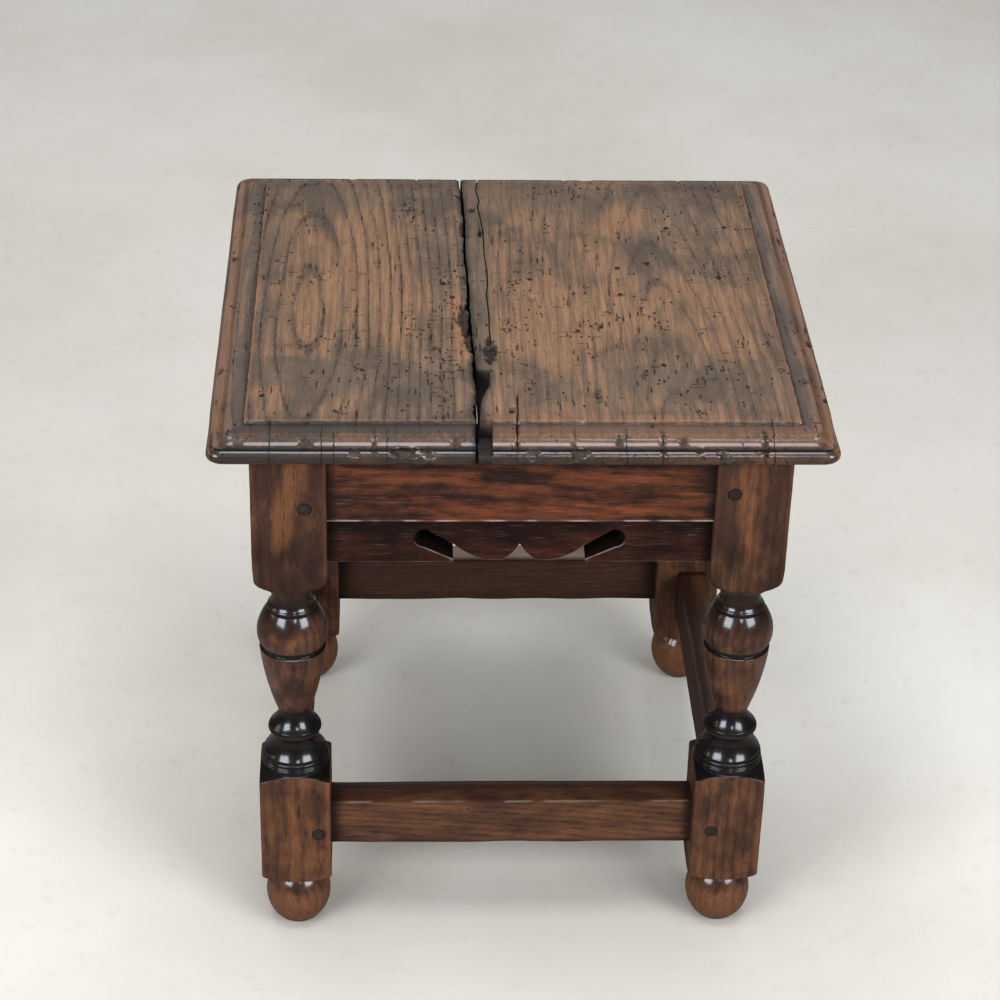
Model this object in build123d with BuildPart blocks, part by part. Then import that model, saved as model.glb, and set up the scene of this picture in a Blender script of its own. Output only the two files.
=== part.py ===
from build123d import *
import os

# A low oak joint stool. Millimetres, +Z up, origin on the floor under the middle of the seat,
# front at -Y. Four turned legs are joined by four moulded aprons and four stretchers with pegged
# mortise-and-tenon joints, and a top of two boards is pegged down on the frame.

# ---- whole stool ----
seat_width = 390.0
seat_depth = 390.0
stool_height = 412.0
top_thickness = 20.0
overhang = 25.0
corner_round = 6.0

# ---- edge moulding of the top, measured in from the edge and down from the seat ----
field_inset = 23.7
field_step = 2.5
step_slope = 0.8
channel_inset = 11.0
channel_fall = 0.4
ovolo_inset = 2.4
ovolo_fall = 6.4
ovolo_swell = 2.4
quirk_depth = 0.9
quirk_height = 1.1
nose_return = 2.4

# ---- joint between the boards, and the sliver lost from the wide one ----
joint_offset = -30.5
joint_gap = 1.4
chip_width = 9.5
chip_depth = 13.0
split_back = 84.0
split_front = 16.0
split_back_width = 9.4
split_front_width = 2.8

# ---- legs: blocks ----
leg_square = 48.0
lower_square = 47.5
upper_block_height = 95.0
lower_block_height = 77.2
turning_margin = 1.5

# ---- legs: turning, from the floor up ----
tread_radius = 10.0
foot_radius = 22.3
foot_height = 43.5
ankle_radius = 13.5
ankle_height = 1.5
under_block_radius = 20.0
under_block_height = 7.0
under_block_swell = 0.7
shoulder_height = 6.0
shoulder_radius = 23.0
shoulder_swell = 0.6
plinth_radius = 22.7
plinth_height = 5.2
plinth_quirk = 0.7
base_ring_radius = 22.4
base_ring_height = 2.8
base_step_radius = 21.2
base_step_height = 2.2
base_flare_height = 8.6
base_flare_hollow = 0.5
throat_radius = 16.5
throat_taper = 0.5
throat_height = 2.5
ring_cove_height = 5.3
ring_cove_hollow = 0.4
waist_ring_radius = 18.0
waist_ring_height = 1.8
waist_step_radius = 17.2
waist_step_height = 1.6
waist_flare_height = 10.5
waist_flare_hollow = 0.85
waist_radius = 10.6
vase_swell = 1.8
vase_radius = 22.0
groove_depth = 1.6
groove_height = 4.9
bulb_foot_radius = 22.3
bulb_radius = 23.4
bulb_rise = 5.2
bulb_shoulder_radius = 22.0
bulb_shoulder_rise = 15.2
bulb_top_radius = 16.8
bulb_height = 25.3
collar_radius = 16.5
collar_height = 2.7
collar_bulge = 0.6
neck_cove_radius = 14.1
neck_cove_rise = 3.1
neck_radius = 13.5
neck_rise = 8.0
neck_end_radius = 14.2
neck_height = 17.3
cap_radius = 21.2
cap_height = 2.6
pommel_height = 15.8
pommel_swell = 3.2

# ---- aprons ----
apron_height = 89.3
apron_thickness = 25.0
apron_set_back = 3.0
band_height = 25.6
band_recess = 4.0
cove_height = 7.1
cove_hollow = 1.3
fascia_quirk = 0.8

# ---- pierced lower edge of the aprons, out from the middle and up from the edge ----
cusp_height = 13.2
cusp_bow = 1.3
lobe_clear = 1.2
lobe_inner = 11.5
lobe_outer = 20.0
lobe_bow = 1.9
slot_mouth = 42.0
slot_mouth_height = 13.2
tongue_thickness = 1.2
keyhole_reach = 60.6
keyhole_height = 17.4
keyhole_radius = 6.4

# ---- stretchers ----
stretcher_height = 36.3
stretcher_thickness = 24.0
stretcher_set_back = 8.4
stretcher_floor = 73.2
stretcher_arris = 1.2

# ---- mortise-and-tenon joints ----
tenon_thickness = 8.0
tenon_clearance = 0.1
mortise_end_gap = 1.0
mortise_wall = 2.0
apron_haunch = 18.0
tenon_shoulder = 4.5

# ---- pegs ----
peg_diameter = 9.5
peg_clearance = 0.1
peg_proud = 0.8
peg_head_round = 0.7
peg_run = 5.0
peg_point = 4.0
peg_point_radius = 3.2
apron_peg_inset = 12.5
apron_peg_drop = 41.0
stretcher_peg_inset = 10.5
stretcher_peg_drop = 20.0
top_peg_diameter = 6.0
top_peg_sink = 0.3
top_peg_point_radius = 2.2

# Pegs that were bored off the usual place: in from the shoulder, down from the rail's top.
stray_pegs = {
    ("apron", "front", "left"): (13.9, 46.0),
    ("apron", "front", "right"): (12.0, 35.0),
    ("stretcher", "front", "left"): (8.2, 21.9),
    ("stretcher", "front", "right"): (13.2, 20.4),
}

# ---- worked out from the sizes above ----
frame_width = seat_width - 2 * overhang
frame_depth = seat_depth - 2 * overhang
underside = stool_height - top_thickness
axis_x = (frame_width - leg_square) / 2
axis_y = (frame_depth - leg_square) / 2
mortise_thickness = tenon_thickness + 2 * tenon_clearance
mortise_reserve = mortise_thickness / 2 + mortise_end_gap + mortise_wall
top_peg_bite = apron_haunch - mortise_wall
apron_bottom = underside - apron_height
apron_back = apron_set_back + apron_thickness
apron_middle = apron_set_back + apron_thickness / 2
stretcher_top = stretcher_floor + stretcher_height
stretcher_middle = stretcher_set_back + stretcher_thickness / 2
rail_x = frame_width / 2 - apron_middle
rail_y = frame_depth / 2 - apron_middle

# The four sides of the frame: the way out, the distance from the middle to the frame's face, half
# the distance between the leg axes, and the neighbours at its two ends. End -1 and end 1 lie on
# the left and on the right of someone who stands outside and looks at that side.
sides = {
    "front": (Vector(0, -1, 0), frame_depth / 2, axis_x, {-1: "left", 1: "right"}),
    "back": (Vector(0, 1, 0), frame_depth / 2, axis_x, {-1: "right", 1: "left"}),
    "left": (Vector(-1, 0, 0), frame_width / 2, axis_y, {-1: "back", 1: "front"}),
    "right": (Vector(1, 0, 0), frame_width / 2, axis_y, {-1: "front", 1: "back"}),
}

# The two rails on each side: middle behind the frame's face, square of the leg there, the lowest
# and highest of the tenon, the rail's top, and the usual place of a peg.
rails = {
    "apron": (
        apron_middle,
        leg_square,
        (apron_bottom + tenon_shoulder, underside - apron_haunch),
        underside,
        (apron_peg_inset, apron_peg_drop),
    ),
    "stretcher": (
        stretcher_middle,
        lower_square,
        (stretcher_floor + tenon_shoulder, stretcher_top - tenon_shoulder),
        stretcher_top,
        (stretcher_peg_inset, stretcher_peg_drop),
    ),
}

os.makedirs("parts", exist_ok=True)


def finish(builder, name):
    """Names a finished piece and writes it to its own file."""
    builder.part.label = name
    export_step(builder.part, f"parts/{name}.step")


def face_plane(side, depth=0.0):
    """A plane behind the frame's face: x runs along the side, y is the height, z points out."""
    out, distance, _, _ = sides[side]
    return Plane(origin=out * (distance - depth), x_dir=Vector(0, 0, 1).cross(out), z_dir=out)


def section_plane(side):
    """The plane across a rail at mid length: x is the depth behind the face, y the height."""
    out, distance, _, _ = sides[side]
    return Plane(origin=out * distance, x_dir=-out, z_dir=Vector(0, 0, 1).cross(out))


def half_span(rail, side):
    """Half the length of a rail between its shoulders."""
    return sides[side][2] - rails[rail][1] / 2


def block_inset(rail):
    """How far the leg's block at a rail stands behind the frame's face."""
    return (leg_square - rails[rail][1]) / 2


def tenon_length(rail):
    """As long as the joint round the corner of the leg leaves room for."""
    return leg_square - block_inset(rail) - rails[rail][0] - mortise_reserve


def peg_place(rail, side, end):
    """Where a rail's peg sits: along the side, and its height."""
    _, _, _, rail_top, usual = rails[rail]
    inset, drop = stray_pegs.get((rail, side, sides[side][3][end]), usual)
    return end * (half_span(rail, side) + inset), rail_top - drop


def peg_end(rail):
    """How far behind the frame's face a rail's pegs reach."""
    return rails[rail][0] + tenon_thickness / 2 + peg_run


# ---- top pegs: the board each goes through, and its place over an apron or a leg ----
top_pegs = {
    "back_left": ("left", -49.0, rail_y - 2.5),
    "side_left": ("left", -rail_x - 3.5, 2.0),
    "corner_front_left": ("left", -axis_x - 16.0, -axis_y - 3.0),
    "back_right": ("right", -6.0, rail_y + 2.5),
    "corner_back_right": ("right", axis_x + 2.0, axis_y + 8.0),
    "side_right": ("right", rail_x + 4.5, 17.5),
    "corner_front_right": ("right", axis_x + 2.0, -axis_y - 10.0),
    "front_right": ("right", -8.0, -rail_y - 6.5),
}


def bore_top_pegs(depth, boards=("left", "right")):
    """Bores the top pegs' holes, from the seat down, into the piece being made."""
    with BuildSketch(Plane.XY.offset(stool_height)) as bores:
        for board, x, y in top_pegs.values():
            if board in boards:
                with Locations((x, y)):
                    Circle(top_peg_diameter / 2 + peg_clearance)
    extrude(bores.sketch, amount=-depth, mode=Mode.SUBTRACT)


# ---- top boards ----
def seat_section(span):
    """The section across the whole top, with its moulded edge on both sides."""
    edge = span / 2
    channel = stool_height - field_step
    ovolo_top = channel - channel_fall
    ovolo_foot = ovolo_top - ovolo_fall
    nose_top = ovolo_foot - quirk_height
    with BuildSketch() as section:
        with BuildLine():
            Polyline(
                (0, underside),
                (0, stool_height),
                (edge - field_inset, stool_height),
                (edge - field_inset + step_slope, channel),
                (edge - channel_inset, ovolo_top),
            )
            SagittaArc(
                (edge - channel_inset, ovolo_top), (edge - ovolo_inset, ovolo_foot), ovolo_swell
            )
            Polyline(
                (edge - ovolo_inset, ovolo_foot),
                (edge - ovolo_inset - quirk_depth, ovolo_foot - quirk_height / 2),
                (edge - nose_return, nose_top),
            )
            ThreePointArc(
                (edge - nose_return, nose_top),
                (edge, (nose_top + underside) / 2),
                (edge - nose_return, underside),
            )
            Line((edge - nose_return, underside), (0, underside))
        make_face()
        mirror(about=Plane.YZ)
    return section.sketch


def make_board(name, left, right):
    with BuildPart() as board:
        with BuildSketch(Plane.XZ):
            add(across_section)
        extrude(amount=seat_depth / 2, both=True)
        with BuildSketch(Plane.YZ):
            add(along_section)
        extrude(amount=seat_width / 2, both=True, mode=Mode.INTERSECT)
        # this board's share of the top
        with BuildSketch(Plane.XY.offset(underside)):
            RectangleRounded(seat_width, seat_depth, corner_round)
            with Locations(((left + right) / 2, 0)):
                Rectangle(right - left, seat_depth, mode=Mode.INTERSECT)
        extrude(amount=top_thickness, mode=Mode.INTERSECT)
        if name == "right":
            # the sliver that broke away beside the joint
            with BuildSketch(Plane.XY.offset(stool_height)):
                with BuildLine():
                    Polyline(
                        (left - joint_gap, -seat_depth / 2 + split_front),
                        (left + split_front_width, -seat_depth / 2 + split_front),
                        (left + split_back_width, -seat_depth / 2 + split_back),
                        (left - joint_gap, -seat_depth / 2 + split_back),
                        close=True,
                    )
                make_face()
            extrude(amount=-top_thickness, mode=Mode.SUBTRACT)
            # the chip out of the front moulding
            with BuildSketch(Plane.XY.offset(stool_height)):
                with Locations((left, -seat_depth / 2)):
                    Rectangle(chip_width, field_inset, align=(Align.MIN, Align.MIN))
            extrude(amount=-chip_depth, mode=Mode.SUBTRACT)
        bore_top_pegs(top_thickness, (name,))
    finish(board, f"top_board_{name}")


across_section = seat_section(seat_width)
along_section = seat_section(seat_depth)
make_board("left", -seat_width / 2, joint_offset - joint_gap / 2)
make_board("right", joint_offset + joint_gap / 2, seat_width / 2)


# ---- legs ----
def lathe_outline():
    """Half of a leg's turned outline: radius out from the axis, and height above the floor."""
    lower_turn = lower_square / 2**0.5 + turning_margin
    upper_turn = leg_square / 2**0.5 + turning_margin
    foot_top = foot_height + ankle_height
    block_bottom = foot_top + under_block_height
    block_top = block_bottom + lower_block_height
    shoulder_top = block_top + shoulder_height
    plinth_top = shoulder_top + plinth_height
    base_ring_core = plinth_radius - plinth_quirk
    base_ring_top = plinth_top + base_ring_height
    base_step_top = base_ring_top + base_step_height
    throat_foot = base_step_top + base_flare_height
    throat_top = throat_foot + throat_height
    throat_core = throat_radius - throat_taper
    waist_ring_foot = throat_top + ring_cove_height
    waist_ring_top = waist_ring_foot + waist_ring_height
    waist_step_top = waist_ring_top + waist_step_height
    waist = waist_step_top + waist_flare_height
    pommel_top = underside - upper_block_height
    pommel_foot = pommel_top - pommel_height
    cap_foot = pommel_foot - cap_height
    collar_top = cap_foot - neck_height
    collar_foot = collar_top - collar_height
    collar_core = collar_radius - collar_bulge
    bulb_foot = collar_foot - bulb_height
    vase_top = bulb_foot - groove_height
    with BuildSketch() as outline:
        with BuildLine():
            # ball foot, with a flat tread
            Line((0, 0), (tread_radius, 0))
            ThreePointArc(
                (tread_radius, 0), (foot_radius, foot_height / 2), (ankle_radius, foot_height)
            )
            Polyline(
                (ankle_radius, foot_height), (ankle_radius, foot_top), (under_block_radius, foot_top)
            )
            # lower block
            SagittaArc(
                (under_block_radius, foot_top), (lower_turn, block_bottom), -under_block_swell
            )
            Line((lower_turn, block_bottom), (lower_turn, block_top))
            SagittaArc((lower_turn, block_top), (shoulder_radius, shoulder_top), -shoulder_swell)
            # plinth, and the ring that a quirk parts from it
            Polyline(
                (shoulder_radius, shoulder_top),
                (plinth_radius, plinth_top - plinth_quirk),
                (base_ring_core, plinth_top),
            )
            ThreePointArc(
                (base_ring_core, plinth_top),
                (base_ring_radius, (plinth_top + base_ring_top) / 2),
                (base_ring_core, base_ring_top),
            )
            # thin step, and the hollow flare up to the throat
            Polyline(
                (base_ring_core, base_ring_top),
                (base_step_radius, base_ring_top),
                (base_step_radius, base_step_top),
            )
            SagittaArc(
                (base_step_radius, base_step_top), (throat_radius, throat_foot), base_flare_hollow
            )
            Line((throat_radius, throat_foot), (throat_core, throat_top))
            SagittaArc(
                (throat_core, throat_top), (waist_ring_radius, waist_ring_foot), ring_cove_hollow
            )
            # upper ring, its step, and the hollow flare up to the waist
            Polyline(
                (waist_ring_radius, waist_ring_foot),
                (waist_ring_radius, waist_ring_top),
                (waist_step_radius, waist_ring_top),
                (waist_step_radius, waist_step_top),
            )
            SagittaArc((waist_step_radius, waist_step_top), (waist_radius, waist), waist_flare_hollow)
            # long vase and the groove above it
            SagittaArc((waist_radius, waist), (vase_radius, vase_top), -vase_swell)
            Polyline(
                (vase_radius, vase_top),
                (vase_radius - groove_depth, vase_top + groove_depth / 2),
                (bulb_foot_radius - groove_depth, bulb_foot - groove_depth / 2),
                (bulb_foot_radius, bulb_foot),
            )
            # bulb, collar and neck
            Spline(
                (bulb_foot_radius, bulb_foot),
                (bulb_radius, bulb_foot + bulb_rise),
                (bulb_shoulder_radius, bulb_foot + bulb_shoulder_rise),
                (bulb_top_radius, collar_foot),
            )
            Line((bulb_top_radius, collar_foot), (collar_core, collar_foot))
            ThreePointArc(
                (collar_core, collar_foot),
                (collar_radius, (collar_foot + collar_top) / 2),
                (collar_core, collar_top),
            )
            Spline(
                (collar_core, collar_top),
                (neck_cove_radius, collar_top + neck_cove_rise),
                (neck_radius, collar_top + neck_rise),
                (neck_end_radius, cap_foot),
            )
            # rim and pommel under the upper block
            Polyline(
                (neck_end_radius, cap_foot), (cap_radius, cap_foot), (cap_radius, pommel_foot)
            )
            SagittaArc((cap_radius, pommel_foot), (upper_turn, pommel_top), -pommel_swell)
            Polyline(
                (upper_turn, pommel_top), (upper_turn, underside), (0, underside), (0, 0)
            )
        make_face()
    return outline.sketch


def make_leg(name, sign_x, sign_y, meeting_sides):
    x = sign_x * axis_x
    y = sign_y * axis_y
    foot_top = foot_height + ankle_height
    stock_step = foot_top + under_block_height + lower_block_height + shoulder_height
    with BuildPart() as leg:
        # squared stock, thinner below the turning
        with BuildSketch(Plane(origin=(x, y, 0))):
            Rectangle(lower_square, lower_square)
        extrude(amount=stock_step)
        with BuildSketch(Plane(origin=(x, y, stock_step))):
            Rectangle(leg_square, leg_square)
        extrude(amount=underside - stock_step)
        # turned on the lathe
        with BuildSketch(Plane(origin=(x, y, 0), x_dir=(1, 0, 0), z_dir=(0, -1, 0))):
            add(turning)
        revolve(axis=Axis((x, y, 0), (0, 0, 1)), mode=Mode.INTERSECT)
        # mortises and peg holes for the two sides that meet here
        for side, end in meeting_sides:
            for rail in rails:
                middle, _, (low, high), _, _ = rails[rail]
                length = tenon_length(rail) + mortise_end_gap
                with BuildSketch(face_plane(side, middle - mortise_thickness / 2)):
                    with Locations((end * (half_span(rail, side) + length / 2), (low + high) / 2)):
                        Rectangle(length, high - low + 2 * tenon_clearance)
                extrude(amount=-mortise_thickness, mode=Mode.SUBTRACT)
                with BuildSketch(face_plane(side)):
                    with Locations(peg_place(rail, side, end)):
                        Circle(peg_diameter / 2 + peg_clearance)
                extrude(amount=-peg_end(rail) - peg_clearance, mode=Mode.SUBTRACT)
        bore_top_pegs(top_thickness + top_peg_bite)
    finish(leg, f"leg_{name}")


turning = lathe_outline()
for end_x, sign_x in (("left", -1), ("right", 1)):
    for end_y, sign_y in (("front", -1), ("back", 1)):
        meeting_sides = [
            (side, end)
            for side, (_, _, _, ends) in sides.items()
            for end, neighbour in ends.items()
            if {side, neighbour} == {end_x, end_y}
        ]
        make_leg(f"{end_y}_{end_x}", sign_x, sign_y, meeting_sides)


# ---- aprons and stretchers ----
def add_tenons(rail, side):
    """Adds both tenons to the rail being made, with their peg holes."""
    middle, _, (low, high), _, _ = rails[rail]
    length = tenon_length(rail)
    for end in (-1, 1):
        with BuildSketch(face_plane(side, middle - tenon_thickness / 2)) as cheek:
            with Locations((end * (half_span(rail, side) + length / 2), (low + high) / 2)):
                Rectangle(length, high - low)
        extrude(cheek.sketch, amount=-tenon_thickness)
        with BuildSketch(face_plane(side)) as bore:
            with Locations(peg_place(rail, side, end)):
                Circle(peg_diameter / 2 + peg_clearance)
        extrude(bore.sketch, amount=-peg_end(rail), mode=Mode.SUBTRACT)


def apron_section():
    """Plain fascia above, a small cove, and a band below that stands further back."""
    band_face = apron_set_back + band_recess
    band_top = apron_bottom + band_height
    fascia_bottom = band_top + cove_height
    with BuildSketch() as section:
        with BuildLine():
            Polyline(
                (apron_back, underside),
                (apron_set_back, underside),
                (apron_set_back, fascia_bottom),
                (apron_set_back + fascia_quirk, fascia_bottom),
            )
            SagittaArc(
                (apron_set_back + fascia_quirk, fascia_bottom), (band_face, band_top), cove_hollow
            )
            Polyline(
                (band_face, band_top),
                (band_face, apron_bottom),
                (apron_back, apron_bottom),
                (apron_back, underside),
            )
        make_face()
    return section.sketch


def pierced_edge():
    """The lower edge's cut-out: a cusp between two lobes, and a keyhole beyond each lobe."""
    base = apron_bottom
    keyhole = Vector(keyhole_reach, base + keyhole_height)
    mouth_middle = Vector(slot_mouth, base + (slot_mouth_height + tongue_thickness) / 2)
    slant = (keyhole - mouth_middle).normalized()
    across = Vector(-slant.Y, slant.X) * keyhole_radius
    slot_top = keyhole + across
    slot_bottom = keyhole - across
    with BuildSketch() as cut_out:
        with BuildLine():
            Line((0, base - tongue_thickness), (0, base + cusp_height))
            SagittaArc((0, base + cusp_height), (lobe_inner, base + lobe_clear), -cusp_bow)
            Line((lobe_inner, base + lobe_clear), (lobe_outer, base + lobe_clear))
            SagittaArc(
                (lobe_outer, base + lobe_clear), (slot_mouth, base + slot_mouth_height), -lobe_bow
            )
            Polyline(
                (slot_mouth, base + slot_mouth_height),
                (slot_top.X, slot_top.Y),
                (slot_bottom.X, slot_bottom.Y),
                (slot_mouth, base + tongue_thickness),
                (slot_mouth, base - tongue_thickness),
                (0, base - tongue_thickness),
            )
        make_face()
        with Locations((keyhole.X, keyhole.Y)):
            Circle(keyhole_radius)
        mirror(about=Plane.YZ)
    return cut_out.sketch


apron_profile = apron_section()
cut_out = pierced_edge()
for side in sides:
    with BuildPart() as apron:
        with BuildSketch(section_plane(side)):
            add(apron_profile)
        extrude(amount=half_span("apron", side), both=True)
        add_tenons("apron", side)
        with BuildSketch(face_plane(side)):
            add(cut_out)
        extrude(amount=-apron_back, mode=Mode.SUBTRACT)
        bore_top_pegs(top_thickness + top_peg_bite)
    finish(apron, f"apron_{side}")

    with BuildPart() as stretcher:
        with BuildSketch(section_plane(side)):
            with Locations((stretcher_middle, (stretcher_floor + stretcher_top) / 2)):
                Rectangle(stretcher_thickness, stretcher_height)
        extrude(amount=half_span("stretcher", side), both=True)
        along_side = Axis((0, 0, 0), face_plane(side).x_dir)
        fillet(stretcher.edges().filter_by(along_side), radius=stretcher_arris)
        add_tenons("stretcher", side)
    finish(stretcher, f"stretcher_{side}")


# ---- pegs ----
def make_peg(name, head_plane, radius, length, point_radius, head_round=0.0):
    """A peg whose head lies on the plane, driven in against the plane's z direction."""
    with BuildPart() as peg:
        with BuildSketch(head_plane):
            Circle(radius)
        extrude(amount=peg_point - length)
        with BuildSketch(head_plane.offset(peg_point - length)):
            Circle(radius)
        with BuildSketch(head_plane.offset(-length)):
            Circle(point_radius)
        loft()
        if head_round:
            head = peg.faces().sort_by(Axis(head_plane.origin, head_plane.z_dir))[-1]
            fillet(head.edges(), radius=head_round)
    finish(peg, name)


for rail in rails:
    surface = block_inset(rail)
    for side, (_, _, _, ends) in sides.items():
        for end, neighbour in ends.items():
            face = face_plane(side, surface - peg_proud)
            along, height = peg_place(rail, side, end)
            centre = face.from_local_coords((along, height, 0))
            make_peg(
                f"{rail}_peg_{side}_{neighbour}",
                Plane(origin=centre, x_dir=face.x_dir, z_dir=face.z_dir),
                peg_diameter / 2,
                peg_end(rail) - surface + peg_proud,
                peg_point_radius,
                peg_head_round,
            )

for place, (_, x, y) in top_pegs.items():
    make_peg(
        f"top_peg_{place}",
        Plane(origin=(x, y, stool_height - top_peg_sink)),
        top_peg_diameter / 2,
        top_thickness + top_peg_bite - top_peg_sink,
        top_peg_point_radius,
    )
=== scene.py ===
import math
import bmesh
import bpy
import numpy as np
from mathutils import Matrix, Vector
from mathutils.geometry import delaunay_2d_cdt


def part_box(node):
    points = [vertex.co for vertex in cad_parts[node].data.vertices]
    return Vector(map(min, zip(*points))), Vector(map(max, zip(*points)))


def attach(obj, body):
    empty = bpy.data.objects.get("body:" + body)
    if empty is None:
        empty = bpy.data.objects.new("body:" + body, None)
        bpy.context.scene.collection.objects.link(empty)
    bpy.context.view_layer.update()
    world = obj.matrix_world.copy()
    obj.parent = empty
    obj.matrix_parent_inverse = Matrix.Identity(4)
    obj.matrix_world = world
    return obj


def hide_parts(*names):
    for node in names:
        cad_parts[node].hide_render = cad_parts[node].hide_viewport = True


# A low oak joint stool, dressed for display. Lengths are millimetres in the frame's own axes, and
# make_piece turns them into metres. Only the floor and the lamps are placed in metres.

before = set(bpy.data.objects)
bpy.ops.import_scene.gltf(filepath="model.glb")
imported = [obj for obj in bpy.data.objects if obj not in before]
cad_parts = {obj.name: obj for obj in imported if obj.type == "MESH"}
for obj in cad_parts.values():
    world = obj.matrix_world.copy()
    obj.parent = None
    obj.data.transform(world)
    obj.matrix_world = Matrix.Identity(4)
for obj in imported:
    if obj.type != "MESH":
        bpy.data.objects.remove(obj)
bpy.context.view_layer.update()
MM = 0.001


def node_box(node):
    """A CAD node's lowest and highest corners, in millimetres."""
    low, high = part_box(node)
    return np.array(low) / MM, np.array(high) / MM


# ---- sizes read from the frame ----
board_low, board_high = node_box("top_board_right")
HALF_SEAT = board_high[0]
SEAT = board_high[2]
UNDERSIDE = board_low[2]
leg_low, leg_high = node_box("leg_front_left")
LEG_SQUARE = leg_high[0] - leg_low[0]
HALF_FRAME = -leg_low[0]
LEG_AXIS = HALF_FRAME - LEG_SQUARE / 2
apron_low, apron_high = node_box("apron_front")
APRON_BACK = apron_high[1] + HALF_FRAME
APRON_FACE = apron_low[1] + HALF_FRAME
APRON_BOTTOM = apron_low[2]
stretcher_low, stretcher_high = node_box("stretcher_front")
STRETCHER_FACE = stretcher_low[1] + HALF_FRAME
STRETCHER_BACK = stretcher_high[1] + HALF_FRAME
STRETCHER_FLOOR = stretcher_low[2]
STRETCHER_TOP = stretcher_high[2]

# ---- turning of the legs: sizes, and heights from the floor or down from the underside ----
LOWER_SQUARE = LEG_SQUARE - 0.5
PAST_CORNER = 0.735  # a turned radius of this many squares lies outside the square's corners
UPPER_TURN = LEG_SQUARE * PAST_CORNER
LOWER_TURN = LOWER_SQUARE * PAST_CORNER
ARRIS = 1.3
ARRIS_WEAR = 0.8
FOOT_TOP = 43.5
BLOCK_FOOT = 45.0
BLOCK_TOP = 129.2
SHOULDER_TOP = 135.2
UPPER_BLOCK = 137.0  # a leg is as thick as its lower block below this height, and full above it
POMMEL_TOP = UNDERSIDE - 95.0
CAP_FOOT = POMMEL_TOP - 18.4
COLLAR_FOOT = CAP_FOOT - 20.0
VASE_TOP = COLLAR_FOOT - 30.2

# ---- edge moulding of the top ----
FIELD_INSET = 23.7
CHANNEL_DEPTH = 2.5
CHANNEL_INSET = 11.0
OVOLO_INSET = 2.4
OVOLO_FALL = 6.4
QUIRK = 0.9
NOSE_RETURN = 3.6
CORNER_ROUNDS = (9.0, 7.5, 1.2)

# ---- aprons and stretchers ----
BAND_HEIGHT = 25.6
BAND_RECESS = 4.0
COVE_HEIGHT = 7.1
RAIL_TUCK = 3.0
RAIL_STEP = 2.4


# ------------------------------------------------------------------ noise and curves
LUMP_TABLE = 32


def lumps(points, size, seed):
    """Smooth noise from -1 to 1 at the points, with lumps of about this size along each axis."""
    table = np.random.default_rng(seed).uniform(-1, 1, (LUMP_TABLE,) * 3)
    cell = np.asarray(points, float) / size
    low = np.floor(cell).astype(int)
    part = cell - low
    part = part * part * (3 - 2 * part)
    total = np.zeros(cell.shape[:-1])
    for corner in np.ndindex(2, 2, 2):
        weight = np.prod(np.where(corner, part, 1 - part), axis=-1)
        at = (low + corner) % LUMP_TABLE
        total += weight * table[at[..., 0], at[..., 1], at[..., 2]]
    return total


def blots(points, size, seed):
    """The same noise from 0 to 1."""
    return 0.5 + 0.5 * lumps(points, size, seed)


def ramp(x, low, high):
    """0 at low, 1 at high, smooth between and held beyond. low may be over high."""
    t = np.clip((x - low) / (high - low), 0, 1)
    return t * t * (3 - 2 * t)


def band(x, start, full, fade, end):
    """1 from full to fade, 0 before start and after end, and smooth between."""
    return ramp(x, start, full) * ramp(x, end, fade)


def arc(start, middle, end, step):
    """Points along the circle through three points, without the first."""
    (ax, ay), (bx, by), (cx, cy) = start, middle, end
    turn = 2 * (ax * (by - cy) + bx * (cy - ay) + cx * (ay - by))
    a2, b2, c2 = ax * ax + ay * ay, bx * bx + by * by, cx * cx + cy * cy
    x = (a2 * (by - cy) + b2 * (cy - ay) + c2 * (ay - by)) / turn
    y = (a2 * (cx - bx) + b2 * (ax - cx) + c2 * (bx - ax)) / turn
    radius = math.hypot(ax - x, ay - y)
    first, mid, last = (math.atan2(v - y, u - x) for u, v in (start, middle, end))
    sweep = (last - first) % math.tau
    if (mid - first) % math.tau > sweep:
        sweep -= math.tau
    count = max(3, math.ceil(abs(sweep) * radius / step))
    return [
        (x + radius * math.cos(first + sweep * k / count), y + radius * math.sin(first + sweep * k / count))
        for k in range(1, count + 1)
    ]


class Outline:
    """A drawn outline: straight lines and arcs, each from where the last one ended."""

    def __init__(self, *start):
        self.points = [start]

    def line(self, *ends):
        self.points.extend(ends)
        return self

    def through(self, middle, end, step=0.8):
        self.points.extend(arc(self.points[-1], middle, end, step))
        return self

    def bow(self, end, swell, step=0.8):
        """An arc whose middle stands this far to the right of the straight way to its end."""
        (ax, ay), (bx, by) = self.points[-1], end
        long = math.hypot(bx - ax, by - ay)
        middle = ((ax + bx) / 2 + swell * (by - ay) / long, (ay + by) / 2 - swell * (bx - ax) / long)
        return self.through(middle, end, step)

    def eased(self, reach=0.35, longest=2.5):
        """The outline with worn corners and no stretch over the longest, as an array."""
        points = np.array(self.points, float)
        out = [points[0]]
        for before, corner, after in zip(points, points[1:], points[2:]):
            back, on = before - corner, after - corner
            back_long, on_long = np.hypot(*back), np.hypot(*on)
            back, on = back / back_long, on / on_long
            if np.dot(back, on) < -0.94:
                out.append(corner)
                continue
            cut = min(reach, 0.4 * back_long, 0.4 * on_long)
            out += [corner + back * cut, corner + (back + on) * cut / 4, corner + on * cut]
        out.append(points[-1])
        filled = [out[0]]
        for a, b in zip(out, out[1:]):
            count = max(1, math.ceil(np.hypot(*(b - a)) / longest))
            filled += [a + (b - a) * k / count for k in range(1, count + 1)]
        return np.array(filled)


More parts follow.
